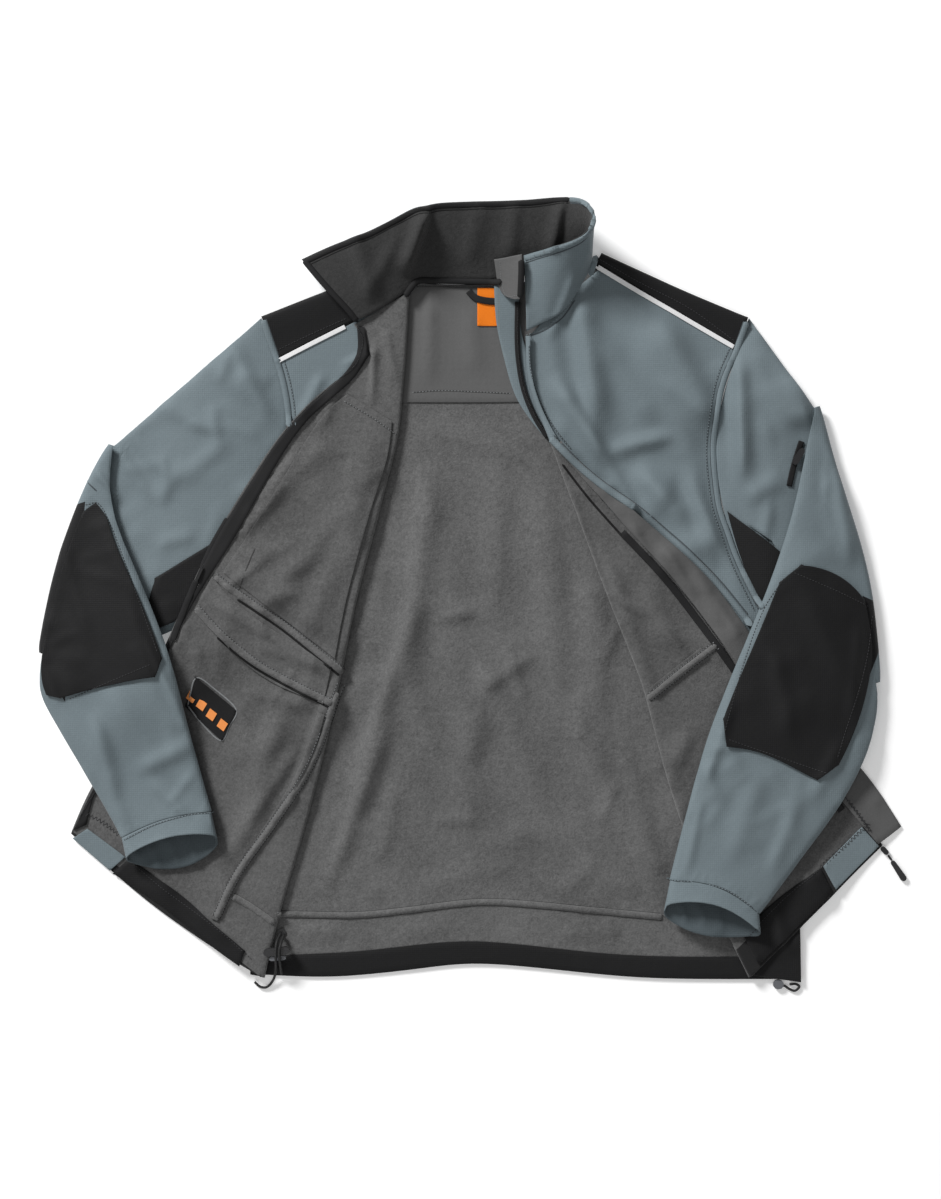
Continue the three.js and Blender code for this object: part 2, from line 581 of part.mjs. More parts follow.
function collar() {
  const [seam, top] = ['seam', 'top'].map((key) => (t) => through(COLLAR.map((r) => r[key]), t));
  const [cols, rows] = [30, 5];
  const at = (t, v) => {
    const [a, b] = [seam(t), top(t)];
    const rise = Math.sin(v * Math.PI) * 4;
    return [mix(a[0], b[0], v), mix(a[1], b[1], v), mix(a[2], b[2], v ** 1.15) + rise];
  };
  const normal = (t, v) => {
    const [p, q] = [at(clamp(t + 0.01), v), at(clamp(t - 0.01), v)];
    const [r, s] = [at(t, clamp(v + 0.02)), at(t, clamp(v - 0.02))];
    const [d, e] = [p.map((c, i) => c - q[i]), r.map((c, i) => c - s[i])];
    const n = [d[1] * e[2] - d[2] * e[1], d[2] * e[0] - d[0] * e[2], d[0] * e[1] - d[1] * e[0]];
    const len = Math.hypot(...n);
    return n.map((c) => c / len);
  };
  const point = (t, v, offset) => {
    const n = normal(t, v);
    return { p: at(t, v).map((c, k) => c + n[k] * offset), n: n.map((c) => c * 0.75) };
  };
  const layer = (name, offset, colour) => keep(name, wall(range(cols + 1).map((i) =>
    range(rows + 1).map((j) => point(i / cols, j / rows, offset)))), colour);
  layer('collar_inner', 0.9, COLOUR.collar);
  layer('collar_outer', -0.9, COLOUR.shell);
}

// Pieces that lie on the panels.

// Point on the upper side of a sleeve's rings, at s along them and w across.
function onRings(rings, s, w, turned) {
  const f = clamp(s) * (rings.length - 1);
  const i = Math.min(rings.length - 2, Math.floor(f));
  const angle = Math.acos(1 - 2 * w) / (2 * Math.PI) * RING;
  const k = turned ? RING - angle : angle;
  const j = Math.floor(k);
  const at = (r) => rings[r].outer[j % RING].map((c, n) => mix(c, rings[r].outer[(j + 1) % RING][n], k - j));
  return at(i).map((c, n) => mix(c, at(i + 1)[n], f - i));
}

function onSleeve(name, rings, grid, turned, names, colour, thick = THIN) {
  const solid = wall(grid.map((row) => row.map(([s, w]) => {
    const [x, y, z] = onRings(rings, s, w, turned);
    return { p: [x, y, z + thick / 2], n: [0, 0, thick / 2] };
  })));
  return keep(name, settle(solid, names), colour);
}

// Elbow panels: at each fraction w across the forearm, where they start and end along it.
const ELBOW_RIGHT = [
  { w: 0.05, from: 0.19, to: 0.54 }, { w: 0.15, from: 0.09, to: 0.565 }, { w: 0.3, from: 0.02, to: 0.53 },
  { w: 0.45, from: 0.01, to: 0.5 }, { w: 0.68, from: 0.01, to: 0.44 }, { w: 0.88, from: 0.01, to: 0.375 },
  { w: 0.96, from: 0.01, to: 0.29 },
];
const ELBOW_LEFT = [
  { w: 0.05, from: 0.42, to: 0.7 }, { w: 0.15, from: 0.33, to: 0.73 }, { w: 0.35, from: 0.22, to: 0.67 },
  { w: 0.53, from: 0.12, to: 0.62 }, { w: 0.68, from: 0.03, to: 0.58 }, { w: 0.8, from: 0.01, to: 0.54 },
  { w: 0.87, from: 0.01, to: 0.46 },
];
// Underarm gussets: at each fraction s along the upper arm, where their seam runs across it.
const GUSSET_RIGHT = [
  { s: 0.02, w: 0.66 }, { s: 0.14, w: 0.69 }, { s: 0.27, w: 0.705 }, { s: 0.4, w: 0.72 }, { s: 0.55, w: 0.75 },
];
const GUSSET_LEFT = [
  { s: 0.03, w: 0.58 }, { s: 0.13, w: 0.59 }, { s: 0.25, w: 0.6 }, { s: 0.4, w: 0.62 }, { s: 0.6, w: 0.67 },
];

const elbowPanel = (name, rings, table, names) => onSleeve(name, rings,
  table.map(({ w, from, to }) => range(9).map((i) => [mix(from, to, i / 8), w])), true, names, COLOUR.black);
const gusset = (name, rings, table, names) => onSleeve(name, rings,
  table.map(({ s, w }) => range(5).map((i) => [s, mix(w, 0.97, i / 4)])), false, names, COLOUR.black);

const PLACKET_UPPER = {
  left: [[24, 318], [26, 280], [33, 248], [44, 208], [58, 184], [76, 162]],
  right: [[50, 318], [50, 280], [58, 248], [72, 208], [84, 184], [96, 164]],
};
const PLACKET_LOWER = {
  zip: [[88, 152], [110, 124], [134, 99], [159, 69], [185, 42], [210, 14], [240, -25], [267, -62],
    [296, -103], [325, -140], [353, -176], [384, -215], [417, -254]],
  free: [[92, 158], [112, 136], [138, 113], [166, 87], [198, 60], [225, 36], [251, 10], [276, -25],
    [305, -65], [338, -104], [372, -146], [409, -187], [441, -236]],
};
const ZIP_UPPER = [[48, 300], [48, 252], [54, 212], [66, 182], [79, 162]];
const ZIP_LEFT = PLACKET_LOWER.zip.slice(3, -1).map(([x, y]) => [x - 4.6, y - 4.2]);
const ZIP_RIGHT = {
  outer: [[-116, 275], [-111, 260], [-119, 233], [-144, 213], [-190, 167], [-228, 109], [-260, 56],
    [-284, 5], [-306, -45], [-327, -88], [-351, -135], [-372, -173], [-391, -206], [-406, -240]],
  inner: [[-108, 274], [-101, 257], [-103, 245], [-121, 218], [-163, 184], [-192, 144], [-222, 92],
    [-247, 47], [-265, 22], [-286, -14], [-301, -44], [-322, -84], [-346, -130], [-366, -168],
    [-385, -200], [-393, -234]],
};
const CHEST_POCKET = {
  zip: [[-126, 206], [-150, 186], [-172, 152], [-195, 112], [-228, 60], [-252, 24]],
  fold: [[-80, 178], [-84, 140], [-98, 100], [-112, 50], [-127, -5], [-138, -64]],
};
const LOWER_POCKET = {
  top: [[-263, 20], [-245, -2], [-209, -30], [-169, -54], [-142, -74]],
  bottom: [[-280, -12], [-256, -42], [-228, -71], [-198, -91], [-167, -103], [-150, -110]],
};
const INSIDE_PATCH = { top: [[-281, -82], [-239, -117]], bottom: [[-292, -113], [-254, -148]] };
const SIDE_SEAM = [[-152, -120], [-168, -171], [-203, -231], [-238, -283], [-252, -309], [-262, -330]];
const HEM_RIGHT = {
  top: [[-350, -269], [-334, -279], [-298, -304], [-261, -336], [-230, -362]],
  edge: [[-366, -284], [-347, -296], [-310, -321], [-270, -354], [-236, -378]],
};
const FACING_RIGHT = { top: [[-392, -238], [-353, -267]], edge: [[-407, -248], [-369, -281]] };
const HEM_LEFT = {
  top: [[357, -278], [330, -297], [298, -322], [278, -346]],
  edge: [[370, -303], [344, -328], [312, -359], [294, -376]],
};
const FACING_LEFT = { top: [[400, -236], [360, -276]], edge: [[418, -256], [373, -300]] };
const CHIN_GUARD = {
  free: [[24, 343], [26, 330], [28, 318], [34, 306], [45, 301.5]],
  sewn: [[52, 346], [52, 333], [51.5, 320], [51, 309], [50, 301]],
};
const WELT_LEFT = [[238, -56], [184, -98]];
const ARM_ZIP = [[338, 158], [330, 134], [325, 112]];

// A small solid of stacked outlines: each level is { z, points }.
function stack(levels) {
  const count = levels[0].points.length;
  const points = levels.flatMap(({ z, points: ps }) => ps.map(([x, y]) => [x, y, z]));
  const faces = [];
  for (let i = 0; i < levels.length - 1; i++) {
    for (let k = 0; k < count; k++) {
      const [a, b] = [i * count + k, i * count + ((k + 1) % count)];
      faces.push([a, b, b + count], [a, b + count, a + count]);
    }
  }
  const end = (levels.length - 1) * count;
  for (let k = 1; k < count - 1; k++) faces.push([0, k + 1, k], [end, end + k, end + k + 1]);
  return { points, faces };
}
// Outline of a rounded bar from a to b, of two half widths.
function bar([ax, ay], [bx, by], ra, rb = ra, sides = 6) {
  const turn = Math.atan2(by - ay, bx - ax);
  const end = (x, y, r, from) => range(sides + 1).map((k) => {
    const f = turn + from + (k / sides) * Math.PI;
    return [x + r * Math.cos(f), y + r * Math.sin(f)];
  });
  return [...end(bx, by, rb, -Math.PI / 2), ...end(ax, ay, ra, Math.PI / 2)];
}
const block = (name, outline, z, high, colour) => keep(name,
  stack([{ z, points: outline }, { z: z + high, points: outline }]), colour);
const highest = (names, points) => Math.max(...points.map(([x, y]) => exactOn(names)(x, y)));

// A cord of eight sides along a smooth route.
function cord(name, route, across, steps) {
  const curve = new THREE.CatmullRomCurve3(route.map((p) => new THREE.Vector3(...p)));
  const profile = new THREE.Shape(range(8).map((k) => new THREE.Vector2(
    across / 2 * Math.cos(k * Math.PI / 4), across / 2 * Math.sin(k * Math.PI / 4))));
  const made = new THREE.ExtrudeGeometry(profile, { steps, extrudePath: curve, bevelEnabled: false });
  const p = made.attributes.position.array;
  const ids = new Map();
  const points = [];
  const id = (i) => {
    const point = [p[3 * i], p[3 * i + 1], p[3 * i + 2]];
    const key = point.map((c) => c.toFixed(3)).join();
    if (!ids.has(key)) { ids.set(key, points.length); points.push(point); }
    return ids.get(key);
  };
  const faces = range(p.length / 9).map((f) => [id(3 * f), id(3 * f + 1), id(3 * f + 2)])
    .filter(([a, b, c]) => a !== b && b !== c && a !== c);
  return keep(name, { points, faces }, COLOUR.plastic);
}

// Assembly, from the floor up.

back();
backPieces();
const inside = ['back_panel', 'back_neck_lining', 'back_hem_facing', 'neck_label', 'hanger_loop'];
laid('placket_upper', PLACKET_UPPER.left, PLACKET_UPPER.right, inside, COLOUR.lining,
  { along: 10, across: 2, soft: true });
const rightArm = sleeve('right', SLEEVE_RIGHT);
const leftArm = sleeve('left', SLEEVE_LEFT);
gusset('right_gusset', rightArm.upper, GUSSET_RIGHT, ['right_upper_arm']);
gusset('left_gusset', leftArm.upper, GUSSET_LEFT, ['left_upper_arm']);
front('right_front', FRONT_RIGHT, { under: inside, beside: ['right_upper_arm', 'right_gusset'], bow: 9 });
front('left_front', FRONT_LEFT, { under: [...inside, 'placket_upper'],
  beside: ['left_upper_arm', 'left_gusset'], peak: NECK_PEAK });
yoke('right_yoke', YOKE_RIGHT, inside);
yoke('left_yoke', YOKE_LEFT, inside);
strip('right_piping', [[-196, 240.5], [-160, 259], [-128, 275]], 4.5, ['right_front', 'right_yoke'],
  COLOUR.piping, { along: 6, thick: 1.2 });
strip('left_piping', [[130, 336], [168, 313], [206, 291], [269, 254.5]], 4.5, ['left_front', 'left_yoke'],
  COLOUR.piping, { along: 8, thick: 1.2 });
strip('zip_upper', ZIP_UPPER, 5.5, ['placket_upper'], COLOUR.black, { along: 12, thick: 2 });

laid('right_zip_tape', ZIP_RIGHT.outer, ZIP_RIGHT.inner, ['right_front'], COLOUR.black,
  { along: 20, across: 1 });
laid('chest_pocket', CHEST_POCKET.zip, CHEST_POCKET.fold, ['right_front'], COLOUR.fleece,
  { along: 9, across: 5 });
laid('lower_pocket', LOWER_POCKET.top, LOWER_POCKET.bottom, ['right_front', 'chest_pocket'],
  COLOUR.fleece, { along: 8, across: 2 });
laid('inside_patch', INSIDE_PATCH.top, INSIDE_PATCH.bottom, ['right_front'], COLOUR.black,
  { along: 2, across: 2, thick: 1 });
strip('side_seam_binding', SIDE_SEAM, 8, ['right_front', 'lower_pocket'], COLOUR.fleece,
  { along: 10, thick: 1.6 });
laid('right_hem_facing', HEM_RIGHT.top, HEM_RIGHT.edge, ['right_front'], COLOUR.black,
  { along: 8, across: 1 });
laid('right_front_facing', FACING_RIGHT.top, FACING_RIGHT.edge, ['right_front'], COLOUR.shell,
  { along: 2, across: 1 });

strip('left_zip_tape', ZIP_LEFT, 7.5, ['left_front'], COLOUR.black, { along: 16 });
laid('placket_lower', PLACKET_LOWER.zip, PLACKET_LOWER.free, ['left_front', 'left_upper_arm', 'left_gusset'],
  COLOUR.lining, { along: 20, across: 3, soft: true });
strip('left_pocket_welt', WELT_LEFT, 9, ['left_front'], COLOUR.fleece, { along: 4 });
laid('left_hem_facing', HEM_LEFT.top, HEM_LEFT.edge, ['left_front'], COLOUR.black,
  { along: 6, across: 1 });
laid('left_front_facing', FACING_LEFT.top, FACING_LEFT.edge, ['left_front'], COLOUR.shell,
  { along: 2, across: 1 });
strip('arm_pocket_zip', ARM_ZIP, 6, ['left_upper_arm'], COLOUR.black, { along: 4 });

collar();
laid('chin_guard', CHIN_GUARD.free, CHIN_GUARD.sewn,
  [...inside, 'placket_upper', 'zip_upper', 'collar_inner', 'collar_outer'], COLOUR.lining,
  { along: 8, across: 3, soft: true, thick: CLOTH });
const onRight = ['right_front', 'right_gusset', 'right_zip_tape', 'chest_pocket', 'lower_pocket',
  'inside_patch', 'side_seam_binding', 'right_hem_facing', 'right_front_facing'];
const onLeft = ['left_front', 'left_gusset', 'left_zip_tape', 'placket_lower', 'left_pocket_welt',
  'left_hem_facing', 'left_front_facing', 'arm_pocket_zip'];
const rightRings = forearm('right', SLEEVE_RIGHT, rightArm, onRight);
const leftRings = forearm('left', SLEEVE_LEFT, leftArm, onLeft);
elbowPanel('right_elbow_panel', rightRings, ELBOW_RIGHT, ['right_sleeve']);
elbowPanel('left_elbow_panel', leftRings, ELBOW_LEFT, ['left_sleeve']);

// Zip pull at the left front's lower corner: slider on the cloth, then a link and a soft tab
// that lie past the edge and lift about the link's near end.
const PULL = { eye: [427.6, -265.6], tip: [443, -288.7], wide: 3.2, thick: 3.2, z: 0.5 };
const LINK = { start: 0.3, end: 5, half: 1.1, thick: 1.6, z: 1.6, tabAfter: 4 };
const SLIDER = { from: [422.3, -258.9], to: [425.3, -262.3], half: 2.7, z: 0.8, high: 2.9 };
const reachOf = Math.hypot(PULL.tip[0] - PULL.eye[0], PULL.tip[1] - PULL.eye[1]);
const along = (t) => mix2(PULL.eye, PULL.tip, t / reachOf);
block('zip_slider', bar(SLIDER.from, SLIDER.to, SLIDER.half, SLIDER.half, 4), SLIDER.z, SLIDER.high,
  COLOUR.plastic);
block('pull_link', bar(along(LINK.start), along(LINK.end), LINK.half, LINK.half, 3), LINK.z, LINK.thick,
  COLOUR.plastic);
block('pull_tab', bar(along(LINK.end + LINK.tabAfter), PULL.tip, PULL.wide * 0.75, PULL.wide, 5),
  PULL.z, PULL.thick, COLOUR.plastic);
const ARM_SLIDER = { top: [338, 148], foot: [331, 137], middle: [335, 142], high: 3 };
block('arm_pocket_slider', bar(ARM_SLIDER.top, ARM_SLIDER.foot, 3, 3.6, 3),
  highest(['left_upper_arm', 'arm_pocket_zip'], [ARM_SLIDER.top, ARM_SLIDER.foot, ARM_SLIDER.middle]) + 0.3,
  ARM_SLIDER.high, COLOUR.plastic);

// Hem drawcord of the right side: eyelet, cord lock with its flat grip, and the two cord ends.
const hemLevel = exactOn(['back_panel', 'back_hem_facing', 'right_front', 'right_hem_facing']);
const CORD = 2.6;
const lockAt = highest(['back_hem_facing', 'right_front', 'right_hem_facing'],
  [[-209, -362], [-197, -362], [-186, -362]]);
const lockTop = lockAt + 9.9;
block('cord_eyelet', bar([-193.5, -344], [-193, -344], 4, 4, 5), hemLevel(-193, -344) + 0.5, 1.2,
  COLOUR.plastic);
block('cord_lock', bar([-207, -363], [-188, -361], 4, 4, 4), lockAt + 0.6, 7.5, COLOUR.plastic);
block('cord_lock_grip', bar([-203, -369.5], [-190, -368.5], 2.2, 2.2, 3), lockAt + 1.2, 5, COLOUR.disc);
cord('drawcord_right', [
  [-194, -345, hemLevel(-194, -345) + 3.8], [-197, -352, lockTop - 1], [-198, -362, lockTop + 0.4],
  [-198, -372, lockTop - 2], [-199, -384, 9], [-202, -393, 5], [-208, -400, 2.4], [-215, -400, 2.2],
  [-221, -395, 2.2],
], CORD, 18);
cord('drawcord_right_end', [
  [-191, -347, hemLevel(-191, -347) + 3.8], [-193, -354, lockTop - 1], [-194.6, -362, lockTop + 0.4],
  [-194, -373, lockTop - 2.6], [-193, -386, 9.6],
], CORD, 9);

// Hem drawcord of the left side: a round stop under the hem and a short loop.
block('cord_stop', bar([314.5, -397.4], [315.5, -397.4], 5, 5, 5), 0.4, 4, COLOUR.disc);
cord('drawcord_left', [
  [320.9, -398.8, 2.2], [326, -402, 2], [332, -404, 2], [336.5, -400, 2], [333, -397.2, 2],
  [326.6, -397.4, 2.2],
], CORD, 9);

const group = new THREE.Group();
group.name = 'softshell_jacket';
group.add(...pieces);
export default group;
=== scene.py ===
# %% [markdown]
# # A softshell jacket laid open on a table
# The jacket lies on its back with both fronts turned out and its sleeves folded over.
# The frame gives every panel as a plain solid. This lesson dresses it: each panel becomes
# finer cloth with soft folds, then seams, zips, cords and fabrics are added.

# %% Start
import math

import bmesh
import bpy
import numpy as np
from mathutils.bvhtree import BVHTree
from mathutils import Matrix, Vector


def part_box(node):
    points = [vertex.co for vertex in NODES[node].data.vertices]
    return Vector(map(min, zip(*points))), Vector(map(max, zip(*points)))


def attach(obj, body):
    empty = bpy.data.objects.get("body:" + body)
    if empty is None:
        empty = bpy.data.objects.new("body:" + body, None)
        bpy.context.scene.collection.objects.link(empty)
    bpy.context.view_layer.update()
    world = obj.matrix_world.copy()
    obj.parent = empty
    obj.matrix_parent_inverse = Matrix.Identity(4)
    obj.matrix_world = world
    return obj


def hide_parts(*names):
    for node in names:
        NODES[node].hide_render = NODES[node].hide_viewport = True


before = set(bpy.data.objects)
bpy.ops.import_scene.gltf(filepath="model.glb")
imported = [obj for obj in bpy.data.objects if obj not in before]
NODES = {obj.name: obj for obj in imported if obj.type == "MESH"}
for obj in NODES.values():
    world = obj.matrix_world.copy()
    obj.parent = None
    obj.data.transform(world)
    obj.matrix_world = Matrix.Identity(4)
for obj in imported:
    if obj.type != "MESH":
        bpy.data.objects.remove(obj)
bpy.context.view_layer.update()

# %% [markdown]
# ## Where things are
# The jacket was measured on a picture taken from straight above, 1.02 mm to the pixel.
# One small function turns a place in that picture into metres on the table, so seams and
# folds can be written down where they are seen.

# %% Places
MM = 0.001
STEP = 1.02
MIDDLE = (470.5, 596)
PART_OFFSET = np.array([-2.5, -5, 0])


def at(*pixels):
    """Places in the picture as metres: across = (px - middle) steps, up = (middle - py) steps,
    both with the part's own small offset."""
    p = np.asarray(pixels, float).reshape(-1, 2)
    x = ((p[:, 0] - MIDDLE[0]) * STEP + PART_OFFSET[0]) * MM
    y = ((MIDDLE[1] - p[:, 1]) * STEP + PART_OFFSET[1]) * MM
    return np.stack([x, y], 1)


def along_line(points):
    """How far along the line each point lies: the sum of the steps before it."""
    return np.concatenate([[0], np.cumsum(np.linalg.norm(np.diff(points, axis=0), axis=1))])


def length_of(points):
    """Sum of the distances between neighbouring points."""
    return float(np.linalg.norm(np.diff(np.asarray(points, float), axis=0), axis=1).sum())


def read_off(want, far, rows):
    """Rows that are known at the distances `far`, read off at the distances `want`."""
    return np.stack([np.interp(want, far, column) for column in rows.T], 1)


def unit(v):
    """The same directions with length 1."""
    return v / (np.linalg.norm(v, axis=-1, keepdims=True) + 1e-12)


def smooth(points, count):
    """Catmull-Rom curve through the points, walked at even speed with `count` points."""
    p = np.asarray(points, float)
    p = np.vstack([2 * p[0] - p[1], p, 2 * p[-1] - p[-2]])
    t = np.linspace(0, len(p) - 3 - 1e-9, 24 * (len(p) - 3) + 1)
    i = t.astype(int)
    u = (t - i)[:, None]
    a, b, c, d = p[i], p[i + 1], p[i + 2], p[i + 3]
    q = 0.5 * (2 * b + (c - a) * u + (2 * a - 5 * b + 4 * c - d) * u**2 + (3 * b - a - 3 * c + d) * u**3)
    far = along_line(q)
    return read_off(np.linspace(0, far[-1], count), far, q)


def placed(name, data):
    """A new object of that name in the scene."""
    made = bpy.data.objects.new(name, data)
    bpy.context.scene.collection.objects.link(made)
    return made


print("the collar's tip lies at", at((301, 262))[0])

# %% [markdown]
# ## Camera, table and light
# A long lens looks straight down, so the cloth keeps its true outline. The table is a plain
# white sheet. One broad lamp at the upper left draws the folds, and a weaker one opposite
# keeps the shadows soft.

# %% Camera
LENS, SENSOR, PICTURE_HIGH = 85, 36, 1.223
CLOTH_LEVEL = 0.012
camera_data = bpy.data.cameras.new("camera")
camera_data.lens, camera_data.sensor_width = LENS, SENSOR
camera = placed("camera", camera_data)
camera.location = (-0.0025, -0.0086, PICTURE_HIGH * LENS / SENSOR + CLOTH_LEVEL)
bpy.context.scene.camera = camera
print("camera height", round(camera.location.z, 3), "m")

# %% [markdown]
# ## Hem cords
# A round elastic cord runs in the hem and comes out at both front corners: on one side two
# ends pass a cord lock and lie free, on the other a short loop leaves a round stop. Each is
# a tube of real diameter on the same route as in the frame, with its own length along it, so
# that the braid can follow it.

# %% Cords
CORD_ROUND = 0.0026
RISE = 0.0017  # the eyelet over the hem, and the cord's top over the middle of its bend
HEM_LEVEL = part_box("cord_eyelet")[1][2] - RISE
LOCK_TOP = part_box("drawcord_right")[1][2] - RISE


def repeated(one, many, size):
    """The faces of one small piece, numbered on for `many` such pieces of `size` points."""
    return (one[None] + (np.arange(many) * size)[:, None, None]).reshape(-1, 4)


def ring_grid(rings, sides, many=1):
    """Faces of `many` tubes of rings x sides points. A tube closes where its last ring is
    drawn to nothing."""
    i, j = np.meshgrid(np.arange(rings - 1), np.arange(sides), indexing="ij")
    k = (j + 1) % sides
    one = np.stack([i * sides + j, i * sides + k, (i + 1) * sides + k, (i + 1) * sides + j], -1)
    return repeated(one.reshape(-1, 4), many, rings * sides)


def ring_points(line, side, up, size, sides):
    """Rings round a line: at angle a the point is line + size (side cos a + up sin a)."""
    a = np.arange(sides) * 2 * math.pi / sides
    ring = side[:, None] * np.cos(a)[None, :, None] + up[:, None] * np.sin(a)[None, :, None]
    return (line[:, None] + ring * size[:, None, None]).reshape(-1, 3)


def cord_tube(name, route, sides=12):
    """A tube on a smooth line, with side and up turned along with it and both ends closed to a
    point. The UV map holds the way round and the way along, in metres."""
    line = smooth((np.array(route, float) + PART_OFFSET) * MM, 60)
    step = unit(np.gradient(line, axis=0))
    side = np.cross(step, (0, 0, 1))
    weak = np.linalg.norm(side, axis=1) < 0.2
    side[weak] = side[~weak][0] if (~weak).any() else (1, 0, 0)
    side = unit(side)
    up = np.cross(side, step)
    line, side, up = (np.vstack([v[:1], v, v[-1:]]) for v in (line, side, up))
    size = np.full(len(line), CORD_ROUND / 2)
    size[[0, -1]] = 1e-5
    quads = ring_grid(len(line), sides)
    mesh = bpy.data.meshes.new(name)
    mesh.from_pydata(ring_points(line, side, up, size, sides).tolist(), [], quads.tolist())
    turns = quads % sides
    turns[:, 1:3] = turns[:, :1] + 1
    uv = np.stack([turns / sides, along_line(line)[quads // sides]], -1)
    mesh.uv_layers.new(name="round_and_along").data.foreach_set("uv", uv.ravel().astype(np.float32))
    mesh.shade_smooth()
    made = placed(name, mesh)
    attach(made, "jacket")
    return made, line[1:-1]


level, top = HEM_LEVEL / MM, LOCK_TOP / MM
cords = []
for node, route, far_end, pieces in (
    ("drawcord_right", (
        (-194, -345, level + 3.8), (-197, -352, top - 1), (-198, -362, top + 0.4), (-198, -372, top - 2),
        (-199, -384, 9), (-202, -393, 5), (-208, -400, 2.4), (-215, -400, 2.2), (-221, -395, 2.2)), "bare",
     ("cord_eyelet", "cord_lock", "cord_lock_grip")),
    ("drawcord_right_end", (
        (-191, -347, level + 3.8), (-193, -354, top - 1), (-194.6, -362, top + 0.4), (-194, -373, top - 2.6),
        (-193, -386, 9.6)), "bare", ()),
    ("drawcord_left", (
        (318, -399.2, 2.2), (321.5, -399, 2.2), (326, -402, 2), (332, -404, 2), (336.5, -400, 2),
        (333, -397.2, 2), (326.6, -397.4, 2.2)), "object", ("cord_stop",)),
):
    tube, line = cord_tube(node + "_cord", route)
    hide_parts(node)
    cords.append(tube)
    print(tube.name, round(length_of(line) / MM, 1), "mm")


# %% Table and lamps
def lamp(name, place, size, power):
    """A round lamp of that diameter and power, aimed at the middle of the table."""
    data = bpy.data.lights.new(name, "AREA")
    data.shape, data.size, data.energy = "DISK", size, power
    made = placed(name, data)
    made.location = place
    made.rotation_mode = "QUATERNION"
    made.rotation_quaternion = (-Vector(place)).to_track_quat("-Z", "Y")


lamp("key_lamp", (-3.6, 4.4, 3.6), 1.8, 500)
lamp("soft_lamp", (-0.8, -1.9, 2.8), 2.6, 22)

world = bpy.data.worlds.new("studio")
world.use_nodes = True
background = world.node_tree.nodes["Background"]
background.inputs[0].default_value = (1, 1, 1, 1)
background.inputs[1].default_value = 0.27
bpy.context.scene.world = world
bpy.context.scene.view_settings.view_transform = "Standard"

HALF_TABLE, TABLE_LEVEL = 8.0, -0.0004
table_mesh = bpy.data.meshes.new("table")
table_mesh.from_pydata(
    [(x * HALF_TABLE, y * HALF_TABLE, TABLE_LEVEL) for x, y in ((-1, -1), (1, -1), (1, 1), (-1, 1))],
    [], [(0, 1, 2, 3)])
placed("table", table_mesh)

# %% [markdown]
# ## Shader maths
# A fabric is a few sums of noise and waves. Writing them as Python expressions keeps them
# readable: a small class wraps a socket, and + - * make the Math nodes.


# %% Expressions
class Value:
    """A node socket that can be added, multiplied and compared like a number."""

    def __init__(self, shop, socket):
        self.shop, self.socket = shop, socket

    def _do(self, kind, *numbers):
        return self.shop.node("ShaderNodeMath", {"operation": kind}, dict(enumerate(numbers)))

    def __add__(self, o): return self._do("ADD", self, o)
    def __mul__(self, o): return self._do("MULTIPLY", self, o)
    def __sub__(self, o): return self._do("SUBTRACT", self, o)
    def __rsub__(self, o): return self._do("SUBTRACT", o, self)
    def __lt__(self, o): return self._do("LESS_THAN", self, o)
    def sine(self): return self._do("SINE", self)
    __radd__, __rmul__ = __add__, __mul__


class Shop:
    """One material's node tree, with a single method that makes any node."""

    def __init__(self, name):
        self.material = bpy.data.materials.new(name)
        self.material.use_nodes = True
        self.tree = self.material.node_tree
        self.shader = self.tree.nodes["Principled BSDF"]
        self.place = self.node("ShaderNodeTexCoord", {}, {}, "Object")

    def feed(self, sockets, values):
        """Links each Value to the socket of its key, or sets a plain number there."""
        for key, value in values.items():
            if isinstance(value, Value):
                self.tree.links.new(value.socket, sockets[key])
            else:
                sockets[key].default_value = value

    def node(self, kind, settings, values, out=0):
        made = self.tree.nodes.new(kind)
        for key, value in settings.items():
            setattr(made, key, value)
        self.feed(made.inputs, values)
        return Value(self, made.outputs[out])

    def noise(self, scale, detail=2.0, rough=0.5):
        """Cloudy noise from 0 to 1, `scale` blobs to the metre."""
        return self.node("ShaderNodeTexNoise", {}, {
            "Vector": self.place, "Scale": scale, "Detail": detail, "Roughness": rough})

    def part(self, key, place=None):
        """One coordinate of a place: 0 across, 1 up."""
        return self.node("ShaderNodeSeparateXYZ", {}, {0: place or self.place}, key)

    def wave(self, value, size):
        """Sine wave of that size in metres, from 0 to 1."""
        return (value * (2 * math.pi / size)).sine() * 0.5 + 0.5

    def blend(self, share, first, second):
        """The first colour where share is 0, the second where it is 1."""
        return self.node("ShaderNodeMix", {"data_type": "RGBA"}, {0: share, 6: first, 7: second}, 2)

    def look(self, colour, rough, values, height, strength, far):
        """Gives the shader its colour, roughness and other values, and the height as bump."""
        bump = self.node("ShaderNodeBump", {}, {"Height": height, "Strength": strength, "Distance": far})
        self.feed(self.shader.inputs, {"Base Color": colour, "Roughness": rough, "Normal": bump, **values})
        return self.material


def tone(*seen):
    """A colour as seen on a screen, 0 to 255, turned to light. One number is a grey."""
    c = np.array(seen * (3 // len(seen))) / 255
    c = np.where(c <= 0.04045, c / 12.92, ((c + 0.055) / 1.055) ** 2.4)
    return (*c.tolist(), 1.0)


print("grey-blue is", [round(v, 3) for v in tone(112, 125, 130)])

# %% [markdown]
# ## Fabrics
# The outer cloth is a tight, smooth weave with a faint grain. The inner side is a short
# fleece: it looks cloudy because its nap lies in all directions. Both take light softly,
# so they get a rough surface and a little sheen, and their grain comes from bump.

# %% Woven cloth
BLACK = (tone(26, 26, 27), tone(12, 12, 13))


def edged(shop, colour, share, hem):
    """The colour, but black beyond the hem: where a x + b y is below c for every line
    (a, b, c) of it on the table."""
    if not hem:
        return colour
    inside = None
    for a, b, c in hem:
        here = shop.part(0) * a + shop.part(1) * b < c
        inside = here if inside is None else inside * here
    light, dark = BLACK
    return shop.blend(inside, colour, shop.blend(share, dark, light))


